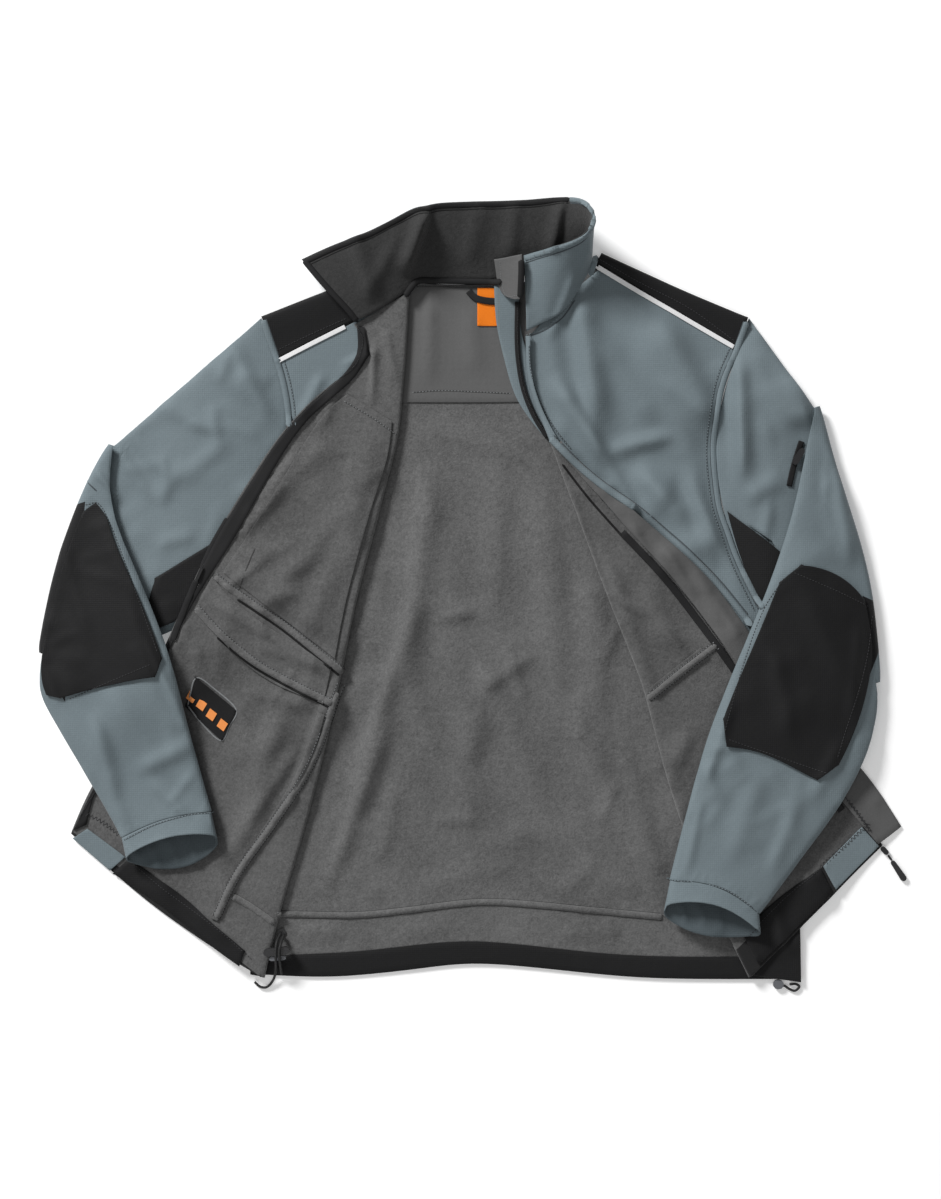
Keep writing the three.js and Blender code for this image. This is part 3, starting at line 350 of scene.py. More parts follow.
def woven(name, light, dark, thread=0.0021, hem=(), sheen=0.12):
    """Two crossed sine waves make the threads; slow noise varies the dye lot and fine noise
    the yarn. With `hem`, all beyond its lines is black."""
    shop = Shop(name)
    threads = shop.wave(shop.part(0), thread) * 0.5 + shop.wave(shop.part(1), thread) * 0.5
    yarn = shop.noise(620, 3, 0.65)
    share = shop.noise(7, 3) * 0.6 + yarn * 0.55 + threads * 0.25 - 0.2
    return shop.look(
        edged(shop, shop.blend(share, dark, light), share, hem), 0.8 - 0.12 * yarn,
        {"Specular IOR Level": 0.25, "Sheen Weight": sheen, "Sheen Roughness": 0.4},
        threads * 0.6 + yarn * 0.6 + shop.noise(150, 3) * 1.1, 0.4, 0.0006)


def napped(name, light, dark, fuzz=520, lie=70, sheen=0.25, hem=()):
    """Fleece: fine noise for the fibres' tips, middle noise for tufts, slow noise where a
    hand has brushed the nap another way. `hem` is as for woven cloth."""
    shop = Shop(name)
    tips = shop.noise(fuzz, 4, 0.75)
    tufts = shop.noise(fuzz * 0.36, 3, 0.65)
    share = tips * 1.1 + tufts * 0.6 + shop.noise(lie * 0.16, 3, 0.55) * 0.5 - 0.62
    return shop.look(
        edged(shop, shop.blend(share, dark, light), tips, hem), 0.96,
        {"Specular IOR Level": 0.1, "Sheen Weight": sheen, "Sheen Roughness": 0.6},
        tips * 0.8 + tufts * 1.0 + shop.noise(lie, 2) * 1.0, 0.7, 0.0013)


def past(first, second, keep):
    """The line on the table through two picture places, as (a, b, c), that leaves the picture
    place `keep` on its near side: a x + b y is above c there."""
    p, q, k = at(first, second, keep)
    a, b = q[1] - p[1], p[0] - q[0]
    c = a * p[0] + b * p[1]
    times = 1 if a * k[0] + b * k[1] > c else -1
    return float(a * times), float(b * times), float(c * times)


HEM_BAND = ((0, 1, -0.3355),)  # the outside is black below this height on the table
BLUE_GREY = (tone(121, 133, 138), tone(92, 103, 108))
FRONT_NAP = (tone(110), tone(50))
SHELL = woven("softshell", *BLUE_GREY)
FRONT_SHELL = woven("front_softshell", *BLUE_GREY, hem=HEM_BAND)
RIGHT_SLEEVE_SHELL = woven("right_sleeve_softshell", *BLUE_GREY, hem=(
    past((60, 509), (110, 495), (90, 440)), past((20, 620), (62, 695), (90, 760)),
    past((86, 500), (66, 700), (140, 600))))
LEFT_SLEEVE_SHELL = woven("left_sleeve_softshell", *BLUE_GREY, hem=(
    past((790, 564), (876, 602), (830, 520)), past((858, 700), (884, 640), (870, 720)),
    past((862, 600), (866, 700), (800, 650))))
# painted shade: the shell cloth darkened, for the shaded inside of the cuff mouths
CUFF_INSIDE_PAINTED_SHADE = woven("cuff_inside_painted_shade", tone(84, 94, 99), tone(62, 70, 74))
BLACK_SHELL = woven("black_softshell", *BLACK, sheen=0.08)
FLEECE = napped("fleece", tone(120), tone(56))
POCKET_FLEECE = napped("pocket_fleece", *FRONT_NAP)
LEFT_FLEECE = napped("left_fleece", *FRONT_NAP, hem=(past((822, 868), (733, 953), (700, 700)),))
RIGHT_FLEECE = napped("right_fleece", *FRONT_NAP, hem=(past((110, 862), (262, 978), (300, 700)),))
LINING = woven("smooth_lining", tone(100), tone(80), 0.0012)
PLACKET_CLOTH = woven("placket_lining", tone(98), tone(76), 0.0012, sheen=0.2)
COLLAR_KNIT = napped("collar_knit", tone(66), tone(36), 700, 60, 0.1)
print("fabrics", [m.name for m in bpy.data.materials if m.use_nodes][-6:])

# %% [markdown]
# ## Trims
# Tapes are ribbed, the piping is a bright reflective cord under satin, the label is a plain
# orange tag, and the hard pieces are moulded plastic with a fine spark-eroded grain.


# %% Tape, piping, label, plastic and cord
def ribbed(name, light, dark, rib=0.0016, rough=0.75):
    """Fine ribs across the place's diagonal, with yarn noise on them."""
    shop = Shop(name)
    ribs = shop.wave(shop.part(0) + shop.part(1), rib)
    yarn = shop.noise(1200, 2)
    return shop.look(shop.blend(ribs * 0.6 + yarn * 0.4, dark, light), rough, {"Specular IOR Level": 0.3},
                     ribs + yarn * 0.4, 0.5, 0.0004)


def moulded(name, light, dark, rough):
    """Plastic: even colour, a fine grain in the bump and faint wear in the roughness."""
    shop = Shop(name)
    speck = shop.noise(1500, 2)
    wear = 0.15 * shop.noise(120, 2)
    return shop.look(shop.blend(speck, dark, light), rough + wear, {}, speck, 0.12, 0.0002)


TAPE = ribbed("black_tape", tone(34, 34, 35), tone(16, 16, 17))
PATCH = ribbed("black_patch", tone(28, 28, 29), tone(18, 18, 19), 0.0008)
PIPING = ribbed("white_piping", tone(250), tone(225, 225, 226), 0.0012, 0.45)
PALE_ORANGE = ribbed("pale_orange", tone(250, 160, 90), tone(244, 150, 80), 0.0007, 0.6)
ORANGE = ribbed("orange_tag", tone(250, 138, 28), tone(240, 118, 18), 0.0007, 0.6)
PLASTIC = moulded("black_plastic", tone(40, 40, 42), tone(28, 28, 29), 0.3)
GREY_PLASTIC = moulded("grey_plastic", tone(104, 106, 110), tone(86, 88, 92), 0.4)
RUBBER = moulded("soft_rubber", tone(40, 40, 41), tone(28, 28, 29), 0.55)
THREAD_DARK = ribbed("dark_thread", tone(70, 70, 72), tone(52, 52, 54), 0.0005)
THREAD_GREY = ribbed("grey_thread", tone(150, 152, 154), tone(118, 120, 122), 0.0005)
THREAD_BLUE = ribbed("blue_grey_thread", tone(150, 163, 168), tone(118, 130, 136), 0.0005)

cord_shop = Shop("round_cord")
uv = cord_shop.node("ShaderNodeUVMap", {"uv_map": "round_and_along"}, {})
turn, along = cord_shop.part(0, uv), cord_shop.part(1, uv)
braid = cord_shop.wave(turn * 0.006 + along, 0.0015) * cord_shop.wave(turn * 0.006 - along, 0.0015)
CORD_CLOTH = cord_shop.look(cord_shop.blend(braid, tone(20), tone(52, 52, 53)), 0.7, {}, braid, 0.6, 0.0003)

table_shop = Shop("white_table")
table_white = table_shop.blend(table_shop.noise(3, 2) * 0.3, (0.93, 0.93, 0.93, 1), (0.9, 0.9, 0.9, 1))
table_shop.feed(table_shop.shader.inputs, {
    "Base Color": table_white, "Roughness": 0.9, "Emission Color": (1, 1, 1, 1), "Emission Strength": 0.22})
table_mesh.materials.append(table_shop.material)
print("trims made")

# %% [markdown]
# ## Folds
# Cloth that lies on cloth lifts what lies on it, and never sinks into it. So every fold is a
# soft ridge given by its two ends, its width and its height, on one of three storeys: the
# back, the fronts, the sleeves. A storey also carries the folds of those below. Widths and
# heights were chosen, uneven as in real cloth.

# %% Ridges
BACK_STOREY, FRONT_STOREY, SLEEVE_STOREY = 0, 1, 2
DEPTH = (2.5, 2.2, 2.0)  # how much the folds of each storey are deepened
HARDWARE = at((271, 943), (888, 862), (800, 456), (281, 965), (783, 985))
STILL = 0.022  # so far from a small hard piece the cloth has no folds
ridges = []


def ridge(storey, start, end, wide, high, lean=1.0):
    """One fold from start to end (picture places), half width and height in mm. lean above 1
    makes its second side steeper."""
    a, b = at(start, end)
    ridges.append((storey, *a, *b, wide * MM, high * MM * DEPTH[storey], lean))


def folds(storey, table):
    """Ridges from a table: each has start, end, half width, height and lean."""
    for row in table.split(","):
        x0, y0, x1, y1, *sizes = map(float, row.split())
        ridge(storey, (x0, y0), (x1, y1), *sizes)


def eased(t):
    """A soft step from 0 to 1: t^2 (3 - 2 t)."""
    return t * t * (3 - 2 * t)


def calm(x, y):
    """0 at the small hard pieces, which the frame holds still, rising to 1 at 2 STILL."""
    d = np.min(np.hypot(x[:, None] - HARDWARE[:, 0], y[:, None] - HARDWARE[:, 1]), axis=1)
    return eased(np.clip((d - STILL) / STILL, 0, 1))


def lift(x, y, storey):
    """Sum of the ridges up to a storey: high x e^(-(d / wide)^2), d the distance from the
    fold's line, which fades out over the last quarter of its length."""
    total = np.zeros(len(x))
    for x0, y0, x1, y1, wide, high, lean in (r[1:] for r in ridges if r[0] <= storey):
        dx, dy = x1 - x0, y1 - y0
        t = ((x - x0) * dx + (y - y0) * dy) / (dx * dx + dy * dy)
        aside = ((x - x0) * dy - (y - y0) * dx) / math.hypot(dx, dy)
        near = (np.abs(aside) < 3 * wide) & (t > -0.2) & (t < 1.2)
        t, aside = t[near], aside[near]
        across = np.where(aside > 0, aside * lean, aside) / wide
        fade = np.clip(np.minimum(t + 0.15, 1.15 - t) / 0.4, 0, 1)
        total[near] += high * np.exp(-across**2) * eased(fade)
    return total * calm(x, y)


# %% Folds of the back
folds(BACK_STOREY, """
    430 470 405 700 16 3.2 1.3, 415 600 352 800 12 3.4 1.6, 452 560 470 860 20 2.2 1.0,
    500 470 492 640 13 1.6 0.8, 540 480 560 700 18 2.4 1.2, 590 560 600 760 14 2.0 0.8,
    470 640 545 800 15 2.2 1.5, 560 700 640 850 13 2.0 1.3, 390 720 330 880 10 2.6 1.4,
    620 720 660 900 11 1.8 0.9, 440 430 520 455 9 1.1 1.0, 520 860 420 890 12 1.0 1.0,
    350 870 380 900 9 1.2 1.0, 600 860 560 895 10 1.1 1.0, 430 300 428 380 8 1.2 1.2,
    470 310 476 370 10 0.9 1.0, 300 930 340 935 8 1.2 1.0, 400 935 450 928 9 1.0 1.0,
    560 935 620 930 9 1.1 1.0, 680 930 720 940 8 1.2 1.0""")

# %% Folds of the fronts
# viewer's left, shell below the yoke and by the armhole
folds(FRONT_STOREY, """
    322 375 300 420 7 1.6 1.2, 340 380 322 430 6 1.2 0.9""")
# turned part, pocket and corner
folds(FRONT_STOREY, """
    374 345 372 401 5 2.0 1.6, 385 330 396 380 5 1.4 0.8, 330 440 250 520 12 1.8 1.3,
    350 500 270 600 11 1.6 0.9, 300 450 262 500 6 1.5 1.3, 286 485 248 530 5 1.4 1.0,
    340 560 300 640 12 1.6 1.1, 265 560 223 590 5 1.5 1.4, 240 650 320 700 10 1.8 1.2,
    230 760 300 730 16 2.2 1.2, 250 820 300 745 10 2.4 1.6, 210 850 235 905 9 1.8 1.2,
    180 620 200 660 6 1.2 1.0, 150 860 170 900 7 1.4 1.0, 118 830 140 860 5 1.2 1.0,
    200 910 225 940 6 1.3 1.0, 240 700 250 745 8 1.2 1.0, 330 690 290 800 6 1.8 1.5,
    222 560 338 640 14 3.2 1.6, 208 600 322 668 10 2.6 2.0, 250 690 312 708 10 2.8 1.2,
    286 700 252 800 13 3.6 1.0, 372 440 346 560 13 2.6 1.0, 262 800 224 862 12 2.6 1.3,
    258 645 318 668 8 2.4 1.4, 300 590 262 604 8 1.8 1.0, 240 560 300 545 9 1.6 1.0,
    310 480 352 530 12 1.8 1.0""")
# viewer's right, chest
folds(FRONT_STOREY, """
    600 335 655 425 15 2.6 1.3, 640 350 700 470 12 1.8 0.8, 592 249 579 273 4 1.6 1.2,
    575 275 552 335 6 1.8 1.3, 545 300 560 395 10 1.6 0.9, 640 470 705 560 13 2.0 1.2,
    660 380 712 420 9 1.2 1.0, 700 500 745 600 9 1.8 1.4, 612 290 650 320 9 1.0 1.0,
    690 560 740 640 6 1.5 1.2, 590 430 640 520 7 1.4 1.1, 560 380 600 450 6 1.2 0.9,
    578 285 598 425 16 5.6 1.5, 655 318 712 430 18 6.2 0.7, 556 385 604 462 13 4.2 1.3,
    690 470 716 560 10 3.0 1.0, 610 452 668 436 9 2.4 1.0, 640 470 690 520 12 2.6 1.0""")
# collar: the turned-out lobe's bulge with its steep edge, and creases of its back
folds(FRONT_STOREY, """
    408 272 428 216 11 7.5 2.8, 352 228 372 296 9 3.0 1.0, 470 262 480 206 8 2.2 1.0,
    510 258 516 204 8 1.9 1.2, 552 256 562 204 8 3.6 2.4, 402 232 366 300 7 1.6 1.0""")
# its turned part and placket
folds(FRONT_STOREY, """
    560 470 620 640 6 1.8 1.5, 600 540 655 700 9 2.0 1.1, 640 590 690 660 6 1.5 1.0,
    630 520 650 560 4 1.2 1.0, 665 548 690 590 4 1.1 1.0, 700 585 722 628 4 1.1 1.0,
    690 730 660 800 9 1.6 1.0, 800 870 830 900 6 1.4 1.0, 840 800 870 830 6 1.3 1.0,
    770 900 790 960 7 1.6 1.2""")

# %% Folds of the sleeves
# viewer's left, upper arm and elbow
folds(SLEEVE_STOREY, """
    112 440 150 500 6 1.8 1.3, 128 432 175 480 7 1.5 0.9, 150 400 215 430 10 1.6 1.1,
    190 350 255 400 12 1.5 1.0, 230 340 270 420 8 1.6 1.2, 180 480 230 440 9 1.4 1.0,
    95 470 120 500 4 1.6 1.2, 60 540 90 640 9 1.6 1.2, 100 520 140 600 13 1.8 1.0,
    130 600 160 690 9 1.4 1.1, 60 670 110 760 12 2.0 1.2, 110 690 170 780 13 1.8 0.9,
    150 640 185 720 6 1.6 1.4, 90 740 130 830 8 1.6 1.2, 150 780 190 815 7 1.2 1.0,
    40 640 60 700 6 1.2 1.0""")
# pleats in both cuff mouths and the wrinkles above them
folds(SLEEVE_STOREY, """
    152 846 160 868 3 0.9 1.0, 168 838 178 866 3 1.0 1.0, 186 834 196 862 3 0.9 1.0,
    680 902 686 922 3 0.9 1.0, 700 904 704 928 3 1.0 1.0, 718 910 722 932 3 0.9 1.0,
    96 716 118 792 9 2.4 1.3, 140 770 196 742 9 2.0 1.0, 700 762 716 800 7 1.6 1.0""")
# viewer's right
folds(SLEEVE_STOREY, """
    738 352 744 480 10 4.4 1.4, 796 372 812 470 12 4.6 0.7, 745 498 790 474 9 2.8 1.0,
    850 560 836 470 12 2.2 1.0, 745 350 790 420 12 1.8 1.1, 760 420 790 470 8 1.5 0.9,
    735 400 738 480 7 1.5 1.2, 820 430 826 500 6 1.4 1.3, 835 480 850 560 8 1.4 1.0,
    770 500 760 560 7 1.4 1.1, 800 590 850 690 14 1.8 1.0, 770 650 790 740 10 1.6 1.2,
    860 620 850 720 8 1.4 1.0, 730 700 705 780 7 1.8 1.4, 760 770 730 860 12 1.8 1.0,
    800 790 770 870 9 1.6 1.2, 700 800 685 870 6 1.4 1.2, 840 740 810 800 8 1.4 1.0""")
print(len(ridges), "folds by hand")

# %% [markdown]
# Between the named folds, cloth is never flat: it has weak, broad waves all over, and small
# puckers where a seam gathers it. Both are drawn from a seeded chance, so each run gives the
# same jacket.

# %% Waves and puckers
chance = np.random.default_rng(11)


def waves(storey, low, high, count, wide, tall, length):
    """count weak ridges with chance places, directions and sizes inside a box of the picture."""
    for _ in range(count):
        px, py = chance.uniform(low, high)
        turn = chance.uniform(0, math.pi)
        long = chance.uniform(0.5, 1) * length
        dx, dy = math.cos(turn) * long, math.sin(turn) * long
        ridge(storey, (px - dx, py - dy), (px + dx, py + dy),
              wide * chance.uniform(0.6, 1.4), tall * chance.uniform(0.3, 1), chance.uniform(0.7, 1.4))


def puckers(storey, pixels, spacing, reach, wide, tall, side=0.0):
    """Short ridges across a seam, a chance distance apart. side shifts them off the seam."""
    line = smooth(at(*pixels), 60)
    count = max(2, int(length_of(line) / (spacing * MM)))
    spots = np.clip((np.arange(count) + chance.uniform(-0.35, 0.35, count)) / (count - 1), 0, 1) * 59
    for f in spots:
        i = min(int(f), 58)
        step = line[i + 1] - line[i]
        along = unit(step)
        turn = chance.uniform(-0.5, 0.5)
        out = np.array([-along[1] + turn * along[0], along[0] + turn * along[1]])
        middle = line[i] + step * (f - i) + out * side * MM
        half = out * reach * MM * chance.uniform(0.5, 1)
        ridges.append((storey, *(middle - half), *(middle + half), wide * MM * chance.uniform(0.7, 1.3),
                       tall * MM * chance.uniform(0.3, 1), 1.0))


for row in (
    (((606, 490), (650, 532), (700, 586), (735, 632)), 21, 17, 4.5, 2.2),
    (((626, 512), (660, 548), (706, 600)), 34, 11, 3, 1.8),
    (((290, 446), (262, 492), (236, 540), (222, 575)), 17, 16, 3.6, 1.8),
):
    puckers(FRONT_STOREY, *row)
for row in (
    (BACK_STOREY, (330, 430), (720, 900), 56, 10, 1.5, 40),
    (FRONT_STOREY, (150, 330), (400, 930), 50, 8, 1.2, 30),
    (FRONT_STOREY, (540, 280), (740, 700), 34, 10, 0.6, 38),
    (FRONT_STOREY, (700, 740), (890, 960), 14, 8, 0.8, 24),
    (SLEEVE_STOREY, (40, 350), (270, 860), 46, 9, 0.8, 32),
    (SLEEVE_STOREY, (680, 330), (880, 930), 46, 9, 0.8, 32),
):
    waves(*row)
for row in (
    (BACK_STOREY, ((277, 913), (355, 914), (480, 901), (620, 912), (735, 921)), 17, 11, 3.5, 0.55),
    (BACK_STOREY, ((265, 975), (420, 962), (480, 958), (620, 972), (760, 980)), 19, 9, 4, 0.6, 8),
    (FRONT_STOREY, ((370, 300), (352, 370), (283, 436), (232, 520), (190, 600)), 15, 9, 3, 0.6),
    (FRONT_STOREY, ((566, 455), (620, 510), (690, 590), (740, 660)), 15, 9, 3, 0.55),
    (FRONT_STOREY, ((120, 862), (170, 900), (235, 955)), 15, 9, 3, 0.55),
    (FRONT_STOREY, ((344, 678), (311, 764), (274, 822), (238, 873)), 16, 10, 3.5, 0.7),
    (FRONT_STOREY, ((725, 350), (716, 410), (722, 480), (738, 560)), 17, 10, 3.5, 0.5),
    (SLEEVE_STOREY, ((268, 320), (282, 380), (276, 440), (262, 500)), 17, 10, 3.5, 0.5),
    (SLEEVE_STOREY, ((124, 839), (156, 823), (190, 813), (213, 811)), 10, 10, 2.6, 0.5, 3),
    (SLEEVE_STOREY, ((669, 879), (698, 880), (722, 886), (759, 913)), 10, 10, 2.6, 0.5, 3),
    (SLEEVE_STOREY, ((85, 500), (112, 510), (165, 655)), 18, 9, 3.5, 0.5),
    (SLEEVE_STOREY, ((776, 570), (735, 660), (718, 740)), 18, 9, 3.5, 0.5),
):
    puckers(*row)
print(len(ridges), "ridges in all")

# %% [markdown]
# ## Cloth
# The frame's panels are true in outline and height, with few faces. Each is copied, its
# doubled points are joined, its triangles paired into squares, and a Subdivision Surface
# rounds it. Points where the outline turns sharply are held, or a tag's corners would melt.
# Then the folds lift it.


# %% Finer copies
RIM_BEND, RIM_HOLD = 0.9, 0.55        # bend of a rim in radians, and how much it is held
CORNER_BEND, WALL = 0.5, 0.0033       # an edge shorter than WALL goes through the cloth
MOUTH_REACH = 0.03                    # how far up a sleeve its opened mouth is felt


def merged(node):
    """The frame's mesh with doubles joined and triangles paired, and its sharp places marked:
    edges round the rim are held a little, so the cloth keeps its width, and where the outline
    itself turns sharply (a short edge through the wall, bent over 30 degrees) fully."""
    cloth = bmesh.new()
    cloth.from_mesh(NODES[node].data)
    bmesh.ops.remove_doubles(cloth, verts=cloth.verts, dist=1e-5)
    bmesh.ops.join_triangles(cloth, faces=cloth.faces, cmp_seam=False, cmp_sharp=False, cmp_uvs=False,
                             cmp_vcols=False, cmp_materials=False,
                             angle_face_threshold=math.radians(50), angle_shape_threshold=math.radians(60))
    hold = cloth.verts.layers.float.new("crease_vert")
    crease = cloth.edges.layers.float.new("crease_edge")
    for edge in cloth.edges:
        bend = edge.calc_face_angle(0)
        if bend > RIM_BEND:
            edge[crease] = RIM_HOLD
        if bend > CORNER_BEND and edge.calc_length() < WALL:
            for corner in edge.verts:
                corner[hold] = 1.0
    mesh = bpy.data.meshes.new(node + "_rough")
    cloth.to_mesh(mesh)
    cloth.free()
    mesh.materials.clear()
    return mesh


def finer(rough, levels, name):
    """A new mesh object of `rough` after Catmull-Clark subdivision; `rough` is removed."""
    rounder = rough.modifiers.new("round", "SUBSURF")
    rounder.levels = rounder.render_levels = levels
    rounder.boundary_smooth = "PRESERVE_CORNERS"
    drawn = bpy.data.meshes.new_from_object(rough.evaluated_get(bpy.context.evaluated_depsgraph_get()))
    bpy.data.objects.remove(rough)
    drawn.name = name
    drawn.shade_smooth()
    return placed(name, drawn)


def column(parts, key, width=1, kind=np.float32):
    """One property of all points, corners or faces of a mesh, a row for each."""
    flat = np.empty(len(parts) * width, kind)
    parts.foreach_get(key, flat)
    return flat.reshape(-1, width) if width > 1 else flat


def points_of(mesh):
    return column(mesh.vertices, "co", 3).astype(float)


def skins(mesh, bend=52):
    """Numbers the sides of a wall: faces share a number when they meet at less than `bend`
    degrees. Each round, every face takes the lowest number among itself and its neighbours."""
    number = np.arange(len(mesh.polygons))
    normals = column(mesh.polygons, "normal", 3)
    loop_edge = column(mesh.loops, "edge_index", kind=np.int32)
    loop_face = np.repeat(number, column(mesh.polygons, "loop_total", kind=np.int32))
    order = np.argsort(loop_edge, kind="stable")
    first, second = order[:-1], order[1:]
    same = loop_edge[first] == loop_edge[second]
    a, b = loop_face[first[same]], loop_face[second[same]]
    flat = np.einsum("ij,ij->i", normals[a], normals[b]) > math.cos(math.radians(bend))
    a, b = a[flat], b[flat]
    before = None
    while before is None or (before != number).any():
        before = number.copy()
        low = np.minimum(number[a], number[b])
        np.minimum.at(number, a, low)
        np.minimum.at(number, b, low)
        number = number[number]
    return number


def side_slots(mesh, seed):
    """Slot 0 for the side seen from above at the picture place `seed`, 1 for the largest other
    side, 2 for the narrow edges."""
    number = skins(mesh)
    tree = BVHTree.FromPolygons([v.co for v in mesh.vertices], [p.vertices for p in mesh.polygons])
    seen = number[tree.ray_cast((*at(seed)[0], 1), (0, 0, -1))[2]]
    sizes = np.bincount(number, minlength=len(number))
    sizes[seen] = 0
    return np.where(number == seen, 0, np.where(number == sizes.argmax(), 1, 2)).astype(np.int32)


def seam_frame(first, second, place):
    """A seam's start and length, its directions along and level towards `place`, and how far
    off `place` lies."""
    a, b, m = at(first, second, place)
    long = np.linalg.norm(b - a)
    along = (b - a) / long
    out = np.array([-along[1], along[0]])
    out *= np.sign((m - a) @ out)
    return a, long, along, out, (m - a) @ out


def bowed(p, first, second, mouth, rise, drop):
    """Bends a sleeve's end. Along the seam line from `first` to `second` (picture places) the
    upper layer moves away from the mouth by rise x sin(pi u), fading out up the sleeve, and the
    lower layer moves out of the mouth by drop x sin(pi u) at its rim."""
    a, long, along, out, deep = seam_frame(first, second, mouth)
    u = np.clip(((p[:, :2] - a) @ along) / long, 0, 1)
    t = (p[:, :2] - a) @ out
    near = t > -MOUTH_REACH
    place = (u * 9.99).astype(int)
    level = np.bincount(place[near], p[near, 2], 10) / np.maximum(np.bincount(place[near], minlength=10), 1)
    swell = np.sin(math.pi * u)
    up = np.clip((t + MOUTH_REACH) / MOUTH_REACH, 0, 1)
    down = np.clip(t / deep, 0, 1.2)
    move = np.where(p[:, 2] > level[place], -rise * MM * swell * eased(up), drop * MM * swell * down)
    p[near, :2] += out * move[near, None]


def kept_on_line(p, first, second, low, high, keep):
    """Points between the picture places low and high that lie past the line first-second are
    moved straight back onto it; keep is a place on the near side."""
    a, _, _, near_side, _ = seam_frame(first, second, keep)
    (x0, y0), (x1, y1) = at(low, high)
    t = (p[:, :2] - a) @ -near_side
    inside = (p[:, 0] > x0) & (p[:, 0] < x1) & (p[:, 1] < y0) & (p[:, 1] > y1) & (t > 0)
    p[inside, :2] += near_side * t[inside, None]


RIGHT_MOUTH, LEFT_MOUTH = ((124, 840), (214, 812), (175, 846)), ((667, 879), (758, 913), (712, 912))
BOWS = {"right_cuff": (*RIGHT_MOUTH, 6, 11), "right_sleeve": (*RIGHT_MOUTH, 6, 0),
        "left_cuff": (*LEFT_MOUTH, 11, 7), "left_sleeve": (*LEFT_MOUTH, 11, 0)}


def dress(node, levels, storey, upper, lower=None, seed=None, rim=None):
    """Turns a panel into cloth. `seed` is a place in the picture where the topmost side gets
    the `upper` fabric; the other side gets `lower`, and the narrow edges get `rim`."""
    mesh = merged(node)
    for fabric in (upper, lower or upper, rim or lower or upper):
        mesh.materials.append(fabric)
    slots = side_slots(mesh, seed) if lower else np.zeros(len(mesh.polygons), np.int32)
    if node == "left_front":
        # above the point where it starts to turn out, its rolled edge shows the outer cloth
        slots[column(mesh.polygons, "center", 3)[:, 1] > at((550, 448))[0, 1]] = 0
    mesh.polygons.foreach_set("material_index", slots)
    made = finer(placed(node + "_rough", mesh), levels, node + "_cloth")
    p = points_of(made.data)
    if node == "left_sleeve":
        kept_on_line(p, (728, 512), (784, 549), (748, 515), (774, 566), (770, 480))
    if node in BOWS:
        bowed(p, *BOWS[node])
    p[:, 2] = np.maximum(p[:, 2] + lift(p[:, 0], p[:, 1], storey), 0)
    made.data.vertices.foreach_set("co", p.astype(np.float32).ravel())
    made.data.update()
    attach(made, "jacket")
    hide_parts(node)
    return made


# %% The panels
cloths = {}
for nodes, levels, storey, *fabrics in (
    ("back_panel", 3, BACK_STOREY, FLEECE, FRONT_SHELL, (500, 650), BLACK_SHELL),
    ("back_neck_lining", 2, BACK_STOREY, LINING),
    ("back_hem_facing", 2, BACK_STOREY, BLACK_SHELL),
    ("placket_upper", 2, BACK_STOREY, SHELL),
    ("zip_upper", 2, BACK_STOREY, TAPE),
    ("neck_label", 3, BACK_STOREY, ORANGE),
    ("hanger_loop", 2, BACK_STOREY, TAPE),
    ("right_front", 3, FRONT_STOREY, RIGHT_FLEECE, FRONT_SHELL, (250, 640), RIGHT_FLEECE),
    ("left_front", 3, FRONT_STOREY, FRONT_SHELL, LEFT_FLEECE, (640, 350), LEFT_FLEECE),
    ("right_yoke left_yoke right_gusset left_gusset", 2, FRONT_STOREY, BLACK_SHELL),
    ("right_piping left_piping", 3, FRONT_STOREY, PIPING),
    ("right_zip_tape left_zip_tape", 2, FRONT_STOREY, TAPE),
    ("chest_pocket lower_pocket side_seam_binding", 3, FRONT_STOREY, POCKET_FLEECE),
    ("inside_patch", 3, FRONT_STOREY, PATCH),
    ("right_hem_facing left_hem_facing", 2, FRONT_STOREY, BLACK_SHELL),
    ("right_front_facing left_front_facing", 3, FRONT_STOREY, SHELL),
    ("placket_lower", 2, FRONT_STOREY, PLACKET_CLOTH),
    ("left_pocket_welt", 3, FRONT_STOREY, POCKET_FLEECE),
    ("collar_inner", 2, FRONT_STOREY, COLLAR_KNIT),
    ("collar_outer", 2, FRONT_STOREY, SHELL),
    ("chin_guard", 2, FRONT_STOREY, LINING),
    ("right_sleeve", 3, SLEEVE_STOREY, RIGHT_SLEEVE_SHELL),
    ("left_sleeve", 3, SLEEVE_STOREY, LEFT_SLEEVE_SHELL),
    # cuff insides: shell cloth with painted shade
    ("right_cuff", 2, SLEEVE_STOREY, SHELL, CUFF_INSIDE_PAINTED_SHADE, (160, 832)),
    ("left_cuff", 2, SLEEVE_STOREY, SHELL, CUFF_INSIDE_PAINTED_SHADE, (712, 908)),
    ("right_elbow_panel left_elbow_panel", 3, SLEEVE_STOREY, BLACK_SHELL),
    ("arm_pocket_zip", 2, SLEEVE_STOREY, TAPE),
):
    for node in nodes.split():
        cloths[node] = dress(node, levels, storey, *fabrics)
triangles = sum(len(p.vertices) - 2 for c in cloths.values() for p in c.data.polygons)
print(len(cloths), "panels,", triangles, "triangles")

# %% [markdown]
# ## Seams
# A seam shows as a shallow ditch with thread on it. The ditch's shade is painted: a flat, narrow
# run of darker cloth, and each stitch is a small grain of thread, both laid on whatever cloth is
# on top at that place. A ray from above finds it.

# %% What lies on top
OVER_ALL = 0.3     # rays start this high
SINK = 0.0006      # a bridging strip may lie this much lower than the cloth beside it
SEAM_STEP = 0.002  # places on a seam are this far apart
TIP = 0.02         # share of its size that a run has at its ends

shown = list(cloths.values())
starts = np.cumsum([0] + [len(c.data.vertices) for c in shown])
faces = [tuple(v + start for v in p.vertices) for c, start in zip(shown, starts) for p in c.data.polygons]
TOP = BVHTree.FromPolygons(np.vstack([points_of(c.data) for c in shown]).tolist(), faces)


